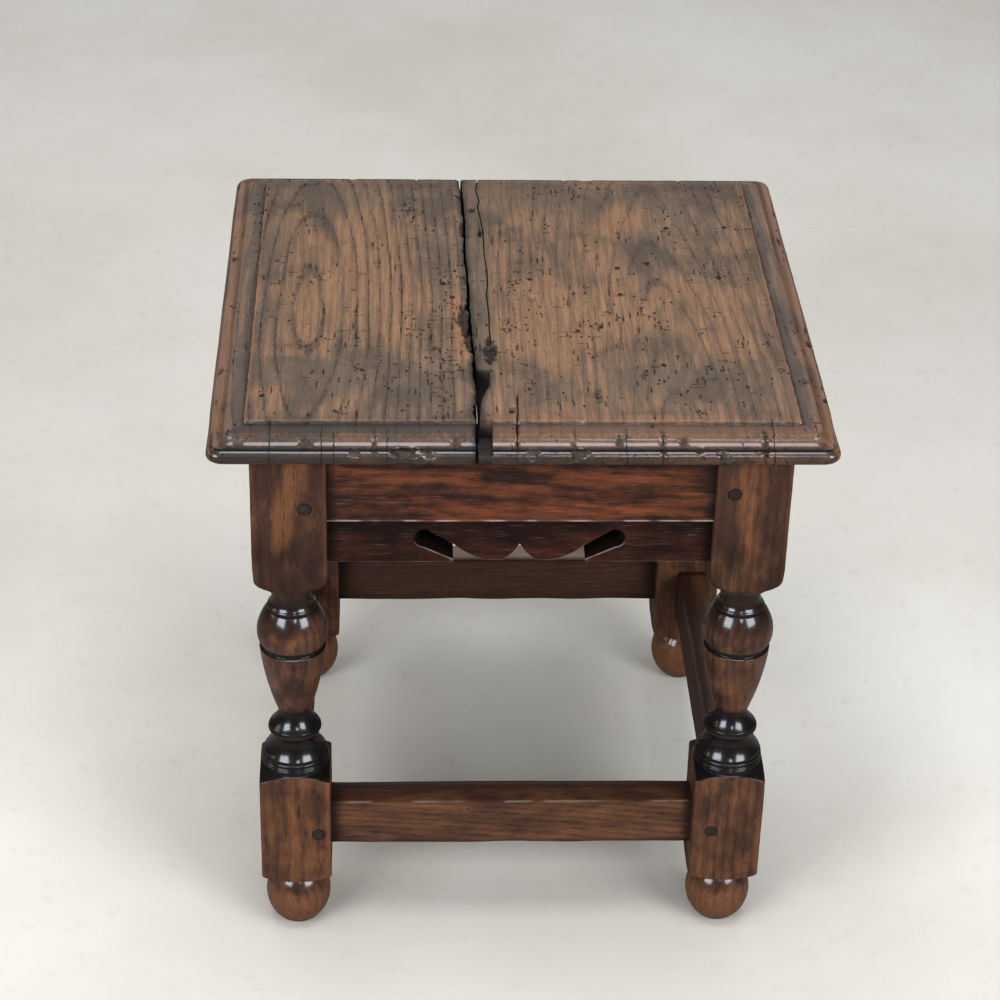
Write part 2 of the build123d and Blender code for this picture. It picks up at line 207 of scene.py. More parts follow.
# ------------------------------------------------------------------ meshes
class Sheets:
    """Grids of points with their faces, gathered to become one mesh."""

    def __init__(self):
        self.points = []
        self.faces = []
        self.count = 0

    def grid(self, points, closed=False, flip=False):
        """Adds a grid of points, rows by columns, and joins its last column to its first if closed."""
        rows, columns = points.shape[:2]
        self.points.append(points.reshape(-1, 3))
        at = self.count + np.arange(rows * columns).reshape(rows, columns)
        if closed:
            at = np.hstack([at, at[:, :1]])
        quads = np.stack([at[:-1, :-1], at[:-1, 1:], at[1:, 1:], at[1:, :-1]], -1).reshape(-1, 4)
        if flip:
            quads = quads[:, ::-1]
        self.faces += quads.tolist()
        self.count += rows * columns

    def polygons(self, points, faces):
        self.points.append(np.asarray(points, float))
        self.faces += [[self.count + i for i in face] for face in faces]
        self.count += len(points)

    def all_points(self):
        return np.concatenate(self.points)


WELD = 1e-6
SHARP = math.radians(38)


def make_piece(name, nodes, sheets, move, grain, marks, finish):
    """Builds a piece from its sheets. move shifts the points, grain gives the wood's own axes and
    its growth rings there, and marks gives how dirty and how worn each point is, and where shade,
    glints and bounced light are painted on."""
    flat = sheets.all_points()
    mesh = bpy.data.meshes.new(name)
    mesh.from_pydata((move(flat) * MM).tolist(), [], sheets.faces)
    wood_axes, rings = grain(flat)
    layers = {"rings": rings, **marks(flat)}
    mesh.attributes.new("grain", "FLOAT_VECTOR", "POINT").data.foreach_set("vector", wood_axes.ravel())
    for layer, values in layers.items():
        mesh.attributes.new(layer, "FLOAT", "POINT").data.foreach_set("value", values.astype(float))
    work = bmesh.new()
    work.from_mesh(mesh)
    bmesh.ops.remove_doubles(work, verts=work.verts, dist=WELD)
    bmesh.ops.dissolve_degenerate(work, edges=work.edges, dist=WELD)
    open_edges = [edge for edge in work.edges if edge.is_boundary]
    if open_edges:
        bmesh.ops.holes_fill(work, edges=open_edges, sides=0)
    bmesh.ops.recalc_face_normals(work, faces=work.faces)
    work.to_mesh(mesh)
    work.free()
    mesh.shade_smooth()
    mesh.set_sharp_from_angle(angle=SHARP)
    mesh.materials.append(finish)
    piece = bpy.data.objects.new(name, mesh)
    bpy.context.collection.objects.link(piece)
    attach(piece, "root")
    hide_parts(*nodes)


# ------------------------------------------------------------------ shader vocabulary
class Channel:
    """A shader socket that can be used in sums. Plain numbers may stand on either side."""

    def __init__(self, paint, socket):
        self.paint = paint
        self.socket = socket

    def _sum(self, operation, *values):
        return self.paint.node("ShaderNodeMath", {"operation": operation}, dict(enumerate(values)))

    def __add__(self, other):
        return self._sum("ADD", self, other)

    def __radd__(self, other):
        return self._sum("ADD", other, self)

    def __sub__(self, other):
        return self._sum("SUBTRACT", self, other)

    def __rsub__(self, other):
        return self._sum("SUBTRACT", other, self)

    def __mul__(self, other):
        return self._sum("MULTIPLY", self, other)

    def __rmul__(self, other):
        return self._sum("MULTIPLY", other, self)

    def fraction(self):
        return self._sum("FRACT", self)

    def distance(self, other):
        return self._sum("ABSOLUTE", self - other)

    def most(self, other):
        return self._sum("MAXIMUM", self, other)

    def ramp(self, low, high):
        """0 at low, 1 at high, smooth between and held beyond. low may be over high."""
        if low > high:
            return 1.0 - self.ramp(high, low)
        settings = {"interpolation_type": "SMOOTHSTEP"}
        sockets = {"Value": self, "From Min": low, "From Max": high}
        return self.paint.node("ShaderNodeMapRange", settings, sockets, "Result")


def colour(red, green, blue):
    """A colour written in screen values from 0 to 255, as the shader's own linear values."""
    linear = []
    for value in (red, green, blue):
        v = value / 255
        linear.append(v / 12.92 if v <= 0.04045 else ((v + 0.055) / 1.055) ** 2.4)
    return (*linear, 1.0)


class Paint:
    """The node tree of a material or of the world."""

    def __init__(self, owner):
        self.owner = owner
        owner.use_nodes = True
        self.tree = owner.node_tree
        self.tree.nodes.clear()

    def node(self, kind, settings=None, sockets=None, output=0):
        """Adds a node, makes its settings, fills its sockets with values or links, and gives back
        one of its outputs."""
        node = self.tree.nodes.new(kind)
        for name, value in (settings or {}).items():
            setattr(node, name, value)
        for name, value in (sockets or {}).items():
            if isinstance(value, Channel):
                self.tree.links.new(value.socket, node.inputs[name])
            else:
                node.inputs[name].default_value = value
        return Channel(self, node.outputs[output]) if node.outputs else node

    def layer(self, name, output="Fac"):
        return self.node("ShaderNodeAttribute", {"attribute_name": name}, {}, output)

    def glossy_ray(self):
        return self.node("ShaderNodeLightPath", {}, {}, "Is Glossy Ray")

    def vectors(self, operation, first, second):
        return self.node("ShaderNodeVectorMath", {"operation": operation}, {0: first, 1: second})

    def scaled(self, vector, scale):
        return self.vectors("MULTIPLY", vector, scale)

    def noise(self, vector, scale, detail=3.0, roughness=0.55, distortion=0.0):
        sockets = {"Vector": self.scaled(vector, scale), "Scale": 1.0, "Detail": detail}
        sockets |= {"Roughness": roughness, "Distortion": distortion}
        return self.node("ShaderNodeTexNoise", {}, sockets)

    def cells(self, vector, scale, output="Distance"):
        sockets = {"Vector": self.scaled(vector, scale), "Scale": 1.0}
        return self.node("ShaderNodeTexVoronoi", {}, sockets, output)

    def mix(self, share, first, second):
        """Colours mixed: all of the first at a share of 0, all of the second at 1."""
        return self.node("ShaderNodeMix", {"data_type": "RGBA"}, {0: share, 6: first, 7: second}, 2)

    def surface(self, base, roughness, height, depth, gloss, coat=0.0, coat_roughness=0.1):
        bump = self.node("ShaderNodeBump", {}, {"Height": height, "Distance": depth * MM, "Strength": 1.0})
        sockets = {"Base Color": base, "Roughness": roughness, "Normal": bump}
        sockets |= {"Specular IOR Level": gloss, "Coat Weight": coat, "Coat Roughness": coat_roughness}
        shader = self.node("ShaderNodeBsdfPrincipled", {}, sockets)
        self.node("ShaderNodeOutputMaterial", {}, {"Surface": shader})
        return self.owner


# ------------------------------------------------------------------ finishes
def oak_figure(paint, sway):
    """What every oak surface has: fibres, pores and growth rings, in the wood's own axes."""
    grain = paint.layer("grain", "Vector")
    bend = paint.noise(grain, (0.03, 0.03, 0.008), 2.0)
    ring = (paint.layer("rings") + (bend - 0.5) * sway).fraction()
    fibre = paint.noise(grain, (1.1, 1.1, 0.035), 5.0, 0.68)
    pore_noise = paint.noise(grain, (1.5, 1.5, 0.14), 3.0, 0.6)
    return grain, ring, fibre, pore_noise


def roughened(paint, grain, reach, size):
    """The wood's axes shaken about, which gives what is laid on them a torn outline."""
    sockets = {"Vector": grain, "Scale": size, "Detail": 2.0, "Roughness": 0.6}
    shake = paint.node("ShaderNodeTexNoise", {}, sockets, "Color")
    centred = paint.vectors("SUBTRACT", shake, (0.5, 0.5, 0.5))
    return paint.vectors("ADD", grain, paint.scaled(centred, reach))


def seat_finish():
    """Worn, waxed top: tan streaks between grey, open-pored lines, pitted, and glossy at its edge."""
    paint = Paint(bpy.data.materials.new("worn_top_oak"))
    grain, ring, fibre, pore_noise = oak_figure(paint, 0.5)
    dirt_and_shade, wear_and_sheen, polish = paint.layer("dirt_and_shade"), paint.layer("wear_and_sheen"), paint.layer("polish")
    rubbed_and_bounce, pitted, figure = paint.layer("rubbed_and_bounce"), paint.layer("pitted"), paint.layer("figure")
    torn = roughened(paint, grain, (2.4, 2.4, 3.6), 0.45)
    # growth rings: a dark, open-pored line that fades into the wood beside it
    strength = paint.noise(grain, (0.10, 0.10, 0.026), 4.0, 0.6).ramp(0.34, 0.60) * figure
    line = ring.distance(0.5).ramp(0.13, 0.03) * strength
    halo = ring.distance(0.44).ramp(0.42, 0.0) * figure
    pores = pore_noise.ramp(0.53, 0.62) * (line * 0.85 + halo * 0.25 + 0.2)
    # rubbed and grimy areas
    patch = paint.noise(grain, (0.028, 0.028, 0.017), 5.0, 0.6, 0.5)
    streak = paint.noise(grain, (0.30, 0.30, 0.014), 4.0, 0.65)
    mottle = paint.noise(grain, (0.42, 0.42, 0.26), 4.0, 0.7)
    warm = patch * 0.44 + streak * 0.34 + mottle * 0.22 + rubbed_and_bounce * 0.22 - halo * 0.05 - dirt_and_shade * 0.2
    warm = warm.ramp(0.38, 0.60)

    def holes(scale, share, size):
        """Holes in this share of the cells, each as large as its cell's luck allows."""
        reach = (paint.cells(torn, scale, "Color") + share - 1.0).ramp(0.0, 0.14) * size
        return (paint.cells(torn, scale) - reach).ramp(0.0, -0.08)

    # worm holes, specks, lengthwise dashes and nicks across the grain
    cluster = paint.noise(grain, (0.045, 0.045, 0.03), 3.0) - 0.5
    pit = holes((0.15, 0.15, 0.11), cluster * 0.9 + pitted * 0.16 + 0.10, 0.34)
    fleck = holes((0.42, 0.42, 0.26), cluster * 1.4 + pitted * 0.22 + 0.13, 0.38)
    dash = holes((0.50, 0.50, 0.065), cluster * 1.1 + pitted * 0.14 + line * 0.30 + 0.20, 0.34)
    nick = holes((0.085, 0.085, 0.75), cluster + pitted * 0.14 + 0.16, 0.36)
    # cracks that run in from the two ends
    in_a_row = {"voronoi_dimensions": "1D"}
    flaws = {"W": paint.node("ShaderNodeSeparateXYZ", {}, {0: torn}), "Scale": 0.055}
    near = paint.node("ShaderNodeTexVoronoi", in_a_row, flaws)
    luck = paint.node("ShaderNodeTexVoronoi", in_a_row, flaws, "Color")
    crack = near.ramp(0.022, 0.008) * (luck + paint.layer("ends") - 1.0).ramp(0.0, 0.10)
    black = pit.most(fleck).most(dash * 0.85).most(nick * 0.8).most(crack)
    # the wood's own colour, then what lies in it and on it
    tan = paint.mix(streak.ramp(0.36, 0.62), colour(122, 88, 64), colour(146, 107, 77))
    grey = paint.mix(patch.ramp(0.36, 0.62), colour(86, 70, 57), colour(106, 87, 71))
    wood = paint.mix(warm, grey, tan)
    handled = paint.mix(warm, colour(32, 21, 18), colour(84, 48, 29))
    wood = paint.mix(polish * 0.92, wood, handled)
    wood = paint.mix(fibre.ramp(0.36, 0.66) * 0.40, wood, colour(56, 43, 35))
    wood = paint.mix(mottle.ramp(0.52, 0.70) * 0.30, wood, colour(60, 48, 40))
    wood = paint.mix(halo * 0.14, wood, colour(74, 60, 50))
    wood = paint.mix(line * 0.62, wood, colour(56, 46, 39))
    wood = paint.mix(pores * 0.7, wood, colour(38, 31, 27))
    wood = paint.mix(wear_and_sheen * 0.8, wood, colour(172, 106, 60))
    # near black where there is dirt and where shade is painted
    wood = paint.mix(dirt_and_shade * 0.88, wood, colour(26, 22, 20))
    wood = paint.mix(black * 0.93, wood, colour(16, 13, 12))
    scuff = paint.noise(grain, (0.5, 0.5, 0.4), 4.0, 0.65)
    roughness = 0.48 + fibre * 0.12 + black * 0.3 - polish * 0.2 + scuff * 0.08
    height = fibre * 0.16 - line * 0.26 - pores * 0.3 - black * 1.5 + patch * 0.4 + scuff * polish * 0.2
    coat = polish * (1.0 - black) * (1.0 - dirt_and_shade)
    return paint.surface(wood, roughness, height, 0.45, 0.3, coat, 0.17)


def frame_finish(
    name, tones, shine, scratched, polished_warmth,
    streaks=(0.3, 0.3, 0.016), patches=(0.055, 0.055, 0.03),
):
    """Waxed frame oak: warm where it is rubbed and where bounced light is painted on the feet, near black
    in its hollows and where shade is painted, glossy where polished. The tones are the rubbed wood, the
    dark, the pores' dark, the polished dark and a worn arris, which on rails and stretchers is painted as a
    pale glint too."""
    light, dark, deep, polished, arris_wear_and_glint = (colour(*tone) for tone in tones)
    paint = Paint(bpy.data.materials.new(name))
    grain, ring, fibre, pore_noise = oak_figure(paint, 0.9)
    dirt_and_shade, wear_and_sheen, polish = paint.layer("dirt_and_shade"), paint.layer("wear_and_sheen"), paint.layer("polish")
    patch = paint.noise(grain, patches, 4.0, 0.6, 0.6)
    streak = paint.noise(grain, streaks, 4.0, 0.62)
    mottle = paint.noise(grain, (0.13, 0.13, 0.07), 4.0, 0.65)
    halo = ring.distance(0.5).ramp(0.36, 0.0)
    mean = patch * 0.44 + streak * 0.13 + mottle * 0.31 + fibre * 0.12
    warm = (mean + paint.layer("rubbed_and_bounce") * 0.20 - dirt_and_shade * 0.2 - halo * 0.03).ramp(0.37, 0.67)
    pores = pore_noise.ramp(0.53, 0.64) * (halo * 0.6 + 0.4)
    scratch = paint.noise(grain, (2.2, 2.2, 0.05), 3.0, 0.6).ramp(0.60, 0.70)
    crack = paint.noise(grain, (0.10, 0.10, 1.3), 3.0, 0.6).ramp(0.63, 0.70)
    scuff = paint.noise(grain, (0.25, 0.25, 0.25), 4.0, 0.6)
    speck = (paint.cells(grain, (0.3, 0.3, 0.2)) - (mottle - 0.60) * 1.6).ramp(0.08, 0.0)
    wood = paint.mix(warm, dark, light)
    wood = paint.mix(polish * 0.85, wood, paint.mix(warm * polished_warmth, polished, light))
    wood = paint.mix(fibre.ramp(0.40, 0.66) * 0.45, wood, deep)
    wood = paint.mix(halo * 0.14, wood, deep)
    wood = paint.mix(pores * 0.6, wood, colour(20, 14, 12))
    wood = paint.mix(crack * 0.35, wood, deep)
    # near black where there is dirt and where shade is painted
    wood = paint.mix(dirt_and_shade * 0.96, wood, colour(7, 6, 6))
    wood = paint.mix(speck * 0.8, wood, colour(16, 12, 11))
    # the worn arris tone, which on rails and stretchers also paints a glint
    wood = paint.mix(wear_and_sheen * 0.75, wood, arris_wear_and_glint)
    wood = paint.mix(scratch * scratched * (1.0 - dirt_and_shade), wood, colour(150, 124, 112))
    roughness = 0.38 + fibre * 0.12 + scuff * 0.10 + scratch * 0.1 - polish * 0.10
    height = fibre * 0.12 - pores * 0.26 + patch * 0.5 + scuff * 0.08 - speck * 0.8 - crack * 0.1
    return paint.surface(wood, roughness, height, 0.3, 0.12, polish * shine + 0.04, 0.15)


LEG_OAK = frame_finish(
    "leg_oak",
    [(116, 74, 48), (66, 43, 34), (40, 26, 21), (46, 20, 13), (136, 80, 52)],
    shine=0.95, scratched=0.03, polished_warmth=0.85,
)
# the last tone, a pale pink, paints the glint on the rails' worn arrises
RAIL_OAK = frame_finish(
    "rail_oak",
    [(120, 63, 37), (44, 26, 21), (24, 14, 12), (26, 10, 8), (196, 166, 156)],
    shine=0.0, scratched=0.26, polished_warmth=0.12,
    streaks=(0.34, 0.34, 0.020), patches=(0.075, 0.075, 0.022),
)
# the last tone, a pale cream, paints the glint on the stretchers' worn arrises
STRETCHER_OAK = frame_finish(
    "stretcher_oak",
    [(112, 72, 48), (66, 43, 34), (38, 24, 19), (50, 26, 14), (190, 164, 148)],
    shine=0.25, scratched=0.08, polished_warmth=0.45,
    streaks=(0.30, 0.30, 0.012), patches=(0.05, 0.05, 0.012),
)
PEG_OAK = frame_finish(
    "peg_oak",
    [(80, 64, 54), (46, 38, 34), (24, 20, 18), (30, 26, 24), (120, 104, 92)],
    shine=0.2, scratched=0.0, polished_warmth=0.5,
)
SEAT_OAK = seat_finish()


# ------------------------------------------------------------------ legs
def leg_outline():
    """A leg's turned outline from the floor up: radius and height. The vase takes up the height."""
    outline = Outline(0.0, 0.0)
    # ball foot
    outline.line((10.0, 0.0)).through((22.3, FOOT_TOP / 2), (13.5, FOOT_TOP))
    outline.line((13.5, BLOCK_FOOT), (20.0, BLOCK_FOOT))
    # lower block with its rounded underside and low shoulder
    outline.bow((LOWER_TURN, BLOCK_FOOT + 7.0), 0.7, 0.6).line((LOWER_TURN, BLOCK_TOP))
    outline.bow((23.0, SHOULDER_TOP), 0.6, 0.6)
    # plinth with a scribed line, quirk and ring
    outline.line((22.9, 138.4), (22.5, 138.7), (22.8, 139.0), (22.7, 139.8), (21.9, 140.4))
    outline.through((22.4, 141.8), (21.9, 143.2), 0.5)
    # step and hollow flare up to the throat
    outline.line((21.2, 143.3), (21.2, 145.4)).bow((16.5, 154.0), -0.5, 0.6)
    outline.line((16.0, 156.5)).bow((18.0, 161.8), -0.4, 0.6)
    # ring, step and hollow flare up to the waist
    outline.line((18.0, 163.6), (17.2, 163.7), (17.2, 165.2)).bow((10.6, 175.7), -0.85, 0.6)
    # vase, and the groove above it
    outline.bow((22.0, VASE_TOP), 1.8, 1.4)
    outline.line((20.4, VASE_TOP + 0.8), (20.7, VASE_TOP + 4.1), (22.3, VASE_TOP + 4.9))
    # bulb
    outline.through((23.4, VASE_TOP + 10.1), (22.0, VASE_TOP + 20.1), 1.0)
    outline.bow((16.8, COLLAR_FOOT), 0.45, 0.8)
    # collar and neck
    outline.line((15.9, COLLAR_FOOT + 0.1))
    outline.through((16.5, COLLAR_FOOT + 1.4), (15.9, COLLAR_FOOT + 2.7), 0.5)
    outline.bow((13.6, COLLAR_FOOT + 8.0), -0.45, 0.7)
    outline.through((13.4, COLLAR_FOOT + 12.0), (14.2, CAP_FOOT), 0.9)
    # rim and quarter-round pommel under the upper block
    outline.line((20.5, CAP_FOOT), (21.2, CAP_FOOT + 0.6), (21.2, CAP_FOOT + 2.6))
    outline.bow((UPPER_TURN, POMMEL_TOP), 3.2, 0.6).line((UPPER_TURN, UNDERSIDE), (0.0, UNDERSIDE))
    return outline.eased(0.25)


def square_reach(angle, half, rounding):
    """How far a square with rounded arrises reaches from its middle at each angle."""
    most = np.maximum(abs(np.cos(angle)), abs(np.sin(angle)))
    least = np.minimum(abs(np.cos(angle)), abs(np.sin(angle)))
    flat = half / most
    core = half - rounding
    both = core * (most + least)
    curved = both + np.sqrt(np.maximum(both * both - 2 * core * core + rounding * rounding, 0))
    return np.where(flat * least <= core, flat, curved)


LEG_OUTLINE = leg_outline()
HOLLOW_REACH = 3.5


def run_of(points):
    """The way along an outline from its start to each point."""
    return np.concatenate([[0], np.cumsum(np.hypot(*np.diff(points, axis=0).T))])


def hollow_of(outline):
    """How far each point of a turned outline lies in a hollow, or, below zero, on a ridge."""
    radius = np.minimum(outline[:, 0], LEG_SQUARE * 0.58)
    along = run_of(outline)
    weight = np.exp(-(((along[:, None] - along[None, :]) / HOLLOW_REACH) ** 2))
    width = np.gradient(along)
    return (weight * width) @ radius / (weight @ width) - radius


# The light streak down the front of a leg's upper block: its place at the top, and its drift.
FRONT_STREAKS = {"leg_front_left": (5.0, -0.16), "leg_front_right": (-8.0, 0.11)}
FACE_STEPS = 36

# Bands of height along a leg: where each starts, is full, starts to fade and ends.
SOFT_POMMEL = (UNDERSIDE - 122, UNDERSIDE - 112, UNDERSIDE - 96, UNDERSIDE - 90)
BLACK_BASE = (129, 133, 172, 186)
BASE_RIDGES = (134, 137, 166, 172)
BULB_CROWN = (VASE_TOP + 14, VASE_TOP + 26, VASE_TOP + 36, VASE_TOP + 50)
BLOCK_END = (250, 270, 305, 345)


def make_leg(name, sign_x, sign_y, seed):
    across_face = np.sin(np.linspace(-np.pi / 2, np.pi / 2, FACE_STEPS + 1))[:-1]
    angle = np.concatenate([np.arctan(across_face) + quarter * np.pi / 2 for quarter in range(4)])
    radius, height = LEG_OUTLINE[:, :1], LEG_OUTLINE[:, 1:]
    half = np.where(height < UPPER_BLOCK, LOWER_SQUARE / 2, LEG_SQUARE / 2)
    unit = np.stack([np.cos(angle), np.sin(angle), 0 * angle], -1)
    upright = np.stack([0 * height, 0 * height, height], -1)
    corner = 40 * unit[None] + upright
    rounding = 0.5 + lumps(corner, 17.0, seed) + 0.5 * lumps(corner, 5.0, seed + 1)
    square = square_reach(angle[None, :], half, np.maximum(ARRIS + ARRIS_WEAR * rounding, 0.5))
    # the turned radius or the square, whichever is smaller, with a soft change at the pommel
    soft = 0.3 + 1.3 * band(height, *SOFT_POMMEL)
    reach = -soft * np.logaddexp(-radius / soft, -square / soft)
    reach = np.maximum(np.where(radius < 1.0, radius, reach), 0.0)
    sheets = Sheets()
    sheets.grid(reach[..., None] * unit[None] + upright, closed=True)
    on_block = ramp(radius - square, -1.0, 1.0)
    near_arris = (ramp(square / half, 1.30, 1.42) * on_block).ravel()
    turned = 1 - on_block.ravel()
    hollow = np.broadcast_to(hollow_of(LEG_OUTLINE)[:, None], reach.shape).ravel()

    def move(flat):
        wobble = 0.22 * lumps(flat, 26.0, seed + 2) + 0.10 * lumps(flat, 8.0, seed + 3) - 0.2
        away = np.hypot(flat[:, 0], flat[:, 1])
        shift = np.where(away > 5, wobble / np.maximum(away, 1), 0)
        moved = flat.copy()
        moved[:, :2] += flat[:, :2] * shift[:, None]
        return moved + (sign_x * LEG_AXIS, sign_y * LEG_AXIS, 0)

    def grain(flat):
        pith = np.random.default_rng(seed).uniform(-34, 34, 2)
        axes = flat + (pith[0], pith[1], 611.0 * seed)
        bend = 4.0 * lumps(axes, (200, 200, 90), seed + 4)
        rings = np.hypot(axes[:, 0] + bend, axes[:, 1]) / 5.2
        return axes, rings

    def marks(flat):
        level = flat[:, 2]
        under_seat = ramp(level, UNDERSIDE - 9, UNDERSIDE)
        foot = ramp(level, 12, 0)
        groove = ramp(abs(level - VASE_TOP - 2.4), 2.8, 2.0)
        # painted dark reflection and shade: black over the base mouldings and in the groove, and darker
        # over the bulb's crown, where polished wood would mirror a dark room
        in_turning = 0.97 * band(level, *BLACK_BASE) + 0.95 * groove + 0.35 * band(level, *BULB_CROWN)
        # darker in the turned hollows, painted shade just under the seat, and a little darker at the floor
        dirt_and_shade = ramp(hollow, 0.5, 3.2) * (0.2 + 0.8 * turned) + 0.7 * under_seat + 0.1 * foot
        dirt_and_shade += turned * in_turning
        # darker from the collar up to the lower part of the upper block
        dirt_and_shade += 0.55 * band(level, *BLOCK_END) * (0.6 + 0.4 * lumps(flat, 12.0, seed + 8))
        ridge = ramp(-hollow, 0.4, 1.6) * turned * band(level, *BASE_RIDGES)
        wear_and_sheen = 0.65 * ridge + 0.5 * near_arris * blots(flat, (14, 14, 22), seed + 5)
        # warm where rubbed; the feet are painted warmer and lighter, a painted glow of light bounced up
        # from the floor
        rubbed_and_bounce = 0.4 * lumps(flat, (12, 12, 16), seed + 6) + 2.0 * ramp(level, 40, 18)
        if name in FRONT_STREAKS:
            start, drift = FRONT_STREAKS[name]
            on_face = ramp(-flat[:, 1], LEG_SQUARE / 2 - 3, LEG_SQUARE / 2 - 1)
            on_face *= ramp(level, 300, 325)
            away = flat[:, 0] - start - drift * (UNDERSIDE - level)
            away += 2.0 * lumps(flat, (30, 30, 18), seed + 7)
            rubbed_and_bounce = rubbed_and_bounce * (1 - 0.6 * on_face) + on_face * (1.2 * np.exp(-((away / 7.0) ** 2)) - 0.35)
        return {
            "dirt_and_shade": np.clip(dirt_and_shade, 0, 1),
            "wear_and_sheen": np.clip(wear_and_sheen, 0, 1),
            # the feet are less polished, so that their painted bounce light shows
            "polish": np.clip(turned * (1 - 0.4 * ramp(level, 44, 20)), 0, 1),
            "rubbed_and_bounce": rubbed_and_bounce,
        }

    make_piece(name, [name], sheets, move, grain, marks, LEG_OAK)


make_leg("leg_front_left", -1, -1, 3)
make_leg("leg_front_right", 1, -1, 4)
make_leg("leg_back_left", -1, 1, 5)
make_leg("leg_back_right", 1, 1, 6)


# ------------------------------------------------------------------ aprons and stretchers
OUTWARD = {"front": (0, -1), "back": (0, 1), "left": (-1, 0), "right": (1, 0)}
APRON_END = LEG_AXIS - LEG_SQUARE / 2 + RAIL_TUCK
BAND_TOP = APRON_BOTTOM + BAND_HEIGHT
BAND_FACE = APRON_FACE + BAND_RECESS
FASCIA_FOOT = BAND_TOP + COVE_HEIGHT
BAND_THICK = APRON_BACK - BAND_FACE
# The wall of the piercing from front to back: how far it stands back from the outline into the
# wood, or, below zero, into a keyhole, and the depth behind the band's face.
PIERCED_WALL = [
    (0.6, 0.0), (0.18, 0.18), (0.0, 0.6), (0.0, 1.2), (-0.9, BAND_THICK / 3), (-1.8, BAND_THICK * 2 / 3),
    (-2.6, BAND_THICK - 0.4), (-2.3, BAND_THICK),
]
FILL_STEP = 3.0
STRETCHER_END = LEG_AXIS - LOWER_SQUARE / 2 + RAIL_TUCK
STRETCHER_MIDDLE = np.array([(STRETCHER_FACE + STRETCHER_BACK) / 2, (STRETCHER_FLOOR + STRETCHER_TOP) / 2])


def on_side(side, local):
    """Turns points of place along the side, depth behind its face, and height into the frame's."""
    out = np.array(OUTWARD[side])
    along = np.array([-out[1], out[0]])
    flat = (HALF_FRAME - local[:, 1:2]) * out + local[:, :1] * along
    return np.column_stack([flat, local[:, 2]])


def pierced_outline():
    """The lower edge of an apron from end to end: place along it, and height."""
    cusp_height, lobe_clear, lobe_inner, lobe_outer = 13.2, 1.2, 11.5, 20.0
    slot_mouth, tongue = 42.0, 1.6
    keyhole, neck_radius, head_radius = np.array([60.6, 17.4]), 5.9, 6.5
    way_in = keyhole - (slot_mouth, 7.2)
    slant = way_in / np.hypot(*way_in)
    across = np.array([-slant[1], slant[0]]) * neck_radius
    neck = keyhole - slant * math.sqrt(head_radius**2 - neck_radius**2)
    half = Outline(0.0, cusp_height)
    half.bow((lobe_inner, lobe_clear), 1.3).line((lobe_outer, lobe_clear))
    half.bow((slot_mouth, cusp_height), 1.9).line(tuple(neck + across))
    half.through(tuple(keyhole + slant * head_radius), tuple(neck - across), 0.7)
    half.line((slot_mouth, tongue), (slot_mouth + 0.6, 0.0), (APRON_END, 0.0))
    points = half.eased(0.3, 1.6)
    return np.vstack([points[::-1] * (-1, 1), points[1:]]) + (0, APRON_BOTTOM)


def leaning(points):
    """The way to the right of each point of an open outline, long enough to offset its sides by 1."""
    step = np.diff(points, axis=0)
    step /= np.hypot(*step.T)[:, None]
    before, after = np.vstack([step[:1], step]), np.vstack([step, step[-1:]])
    normal = np.stack([before[:, 1] + after[:, 1], -before[:, 0] - after[:, 0]], -1)
    long = np.maximum(np.hypot(*normal.T), 1e-6)[:, None]
    return normal / long / np.maximum(long / 2, 0.6)


def rail_figure(seed, spacing):
    """The wood's axes in a rail: across its height, through its thickness, and along it."""

    def grain(local):
        pith = np.random.default_rng(seed).uniform((20, -60), (90, -20))
        across, inward = local[:, 2] - APRON_BOTTOM + pith[0], local[:, 1] + pith[1]
        axes = np.stack([across, inward, local[:, 0] + 733.0 * seed], -1)
        lean = 0.06 * local[:, 0] + 7.0 * lumps(axes, (60, 60, 110), seed + 1)
        rings = np.hypot(axes[:, 0] + lean, axes[:, 1]) / spacing
        return axes, rings

    return grain


def rail_columns(end):
    return np.linspace(-end, end, int(2 * end / RAIL_STEP))


def swept(section, columns):
    """A section of depth and height carried along a rail: its points by its columns."""
    along = np.broadcast_to(columns[None, :], (len(section), len(columns)))
    depth = np.broadcast_to(section[:, :1], along.shape)
    height = np.broadcast_to(section[:, 1:], along.shape)
    return np.dstack([along, depth, height])


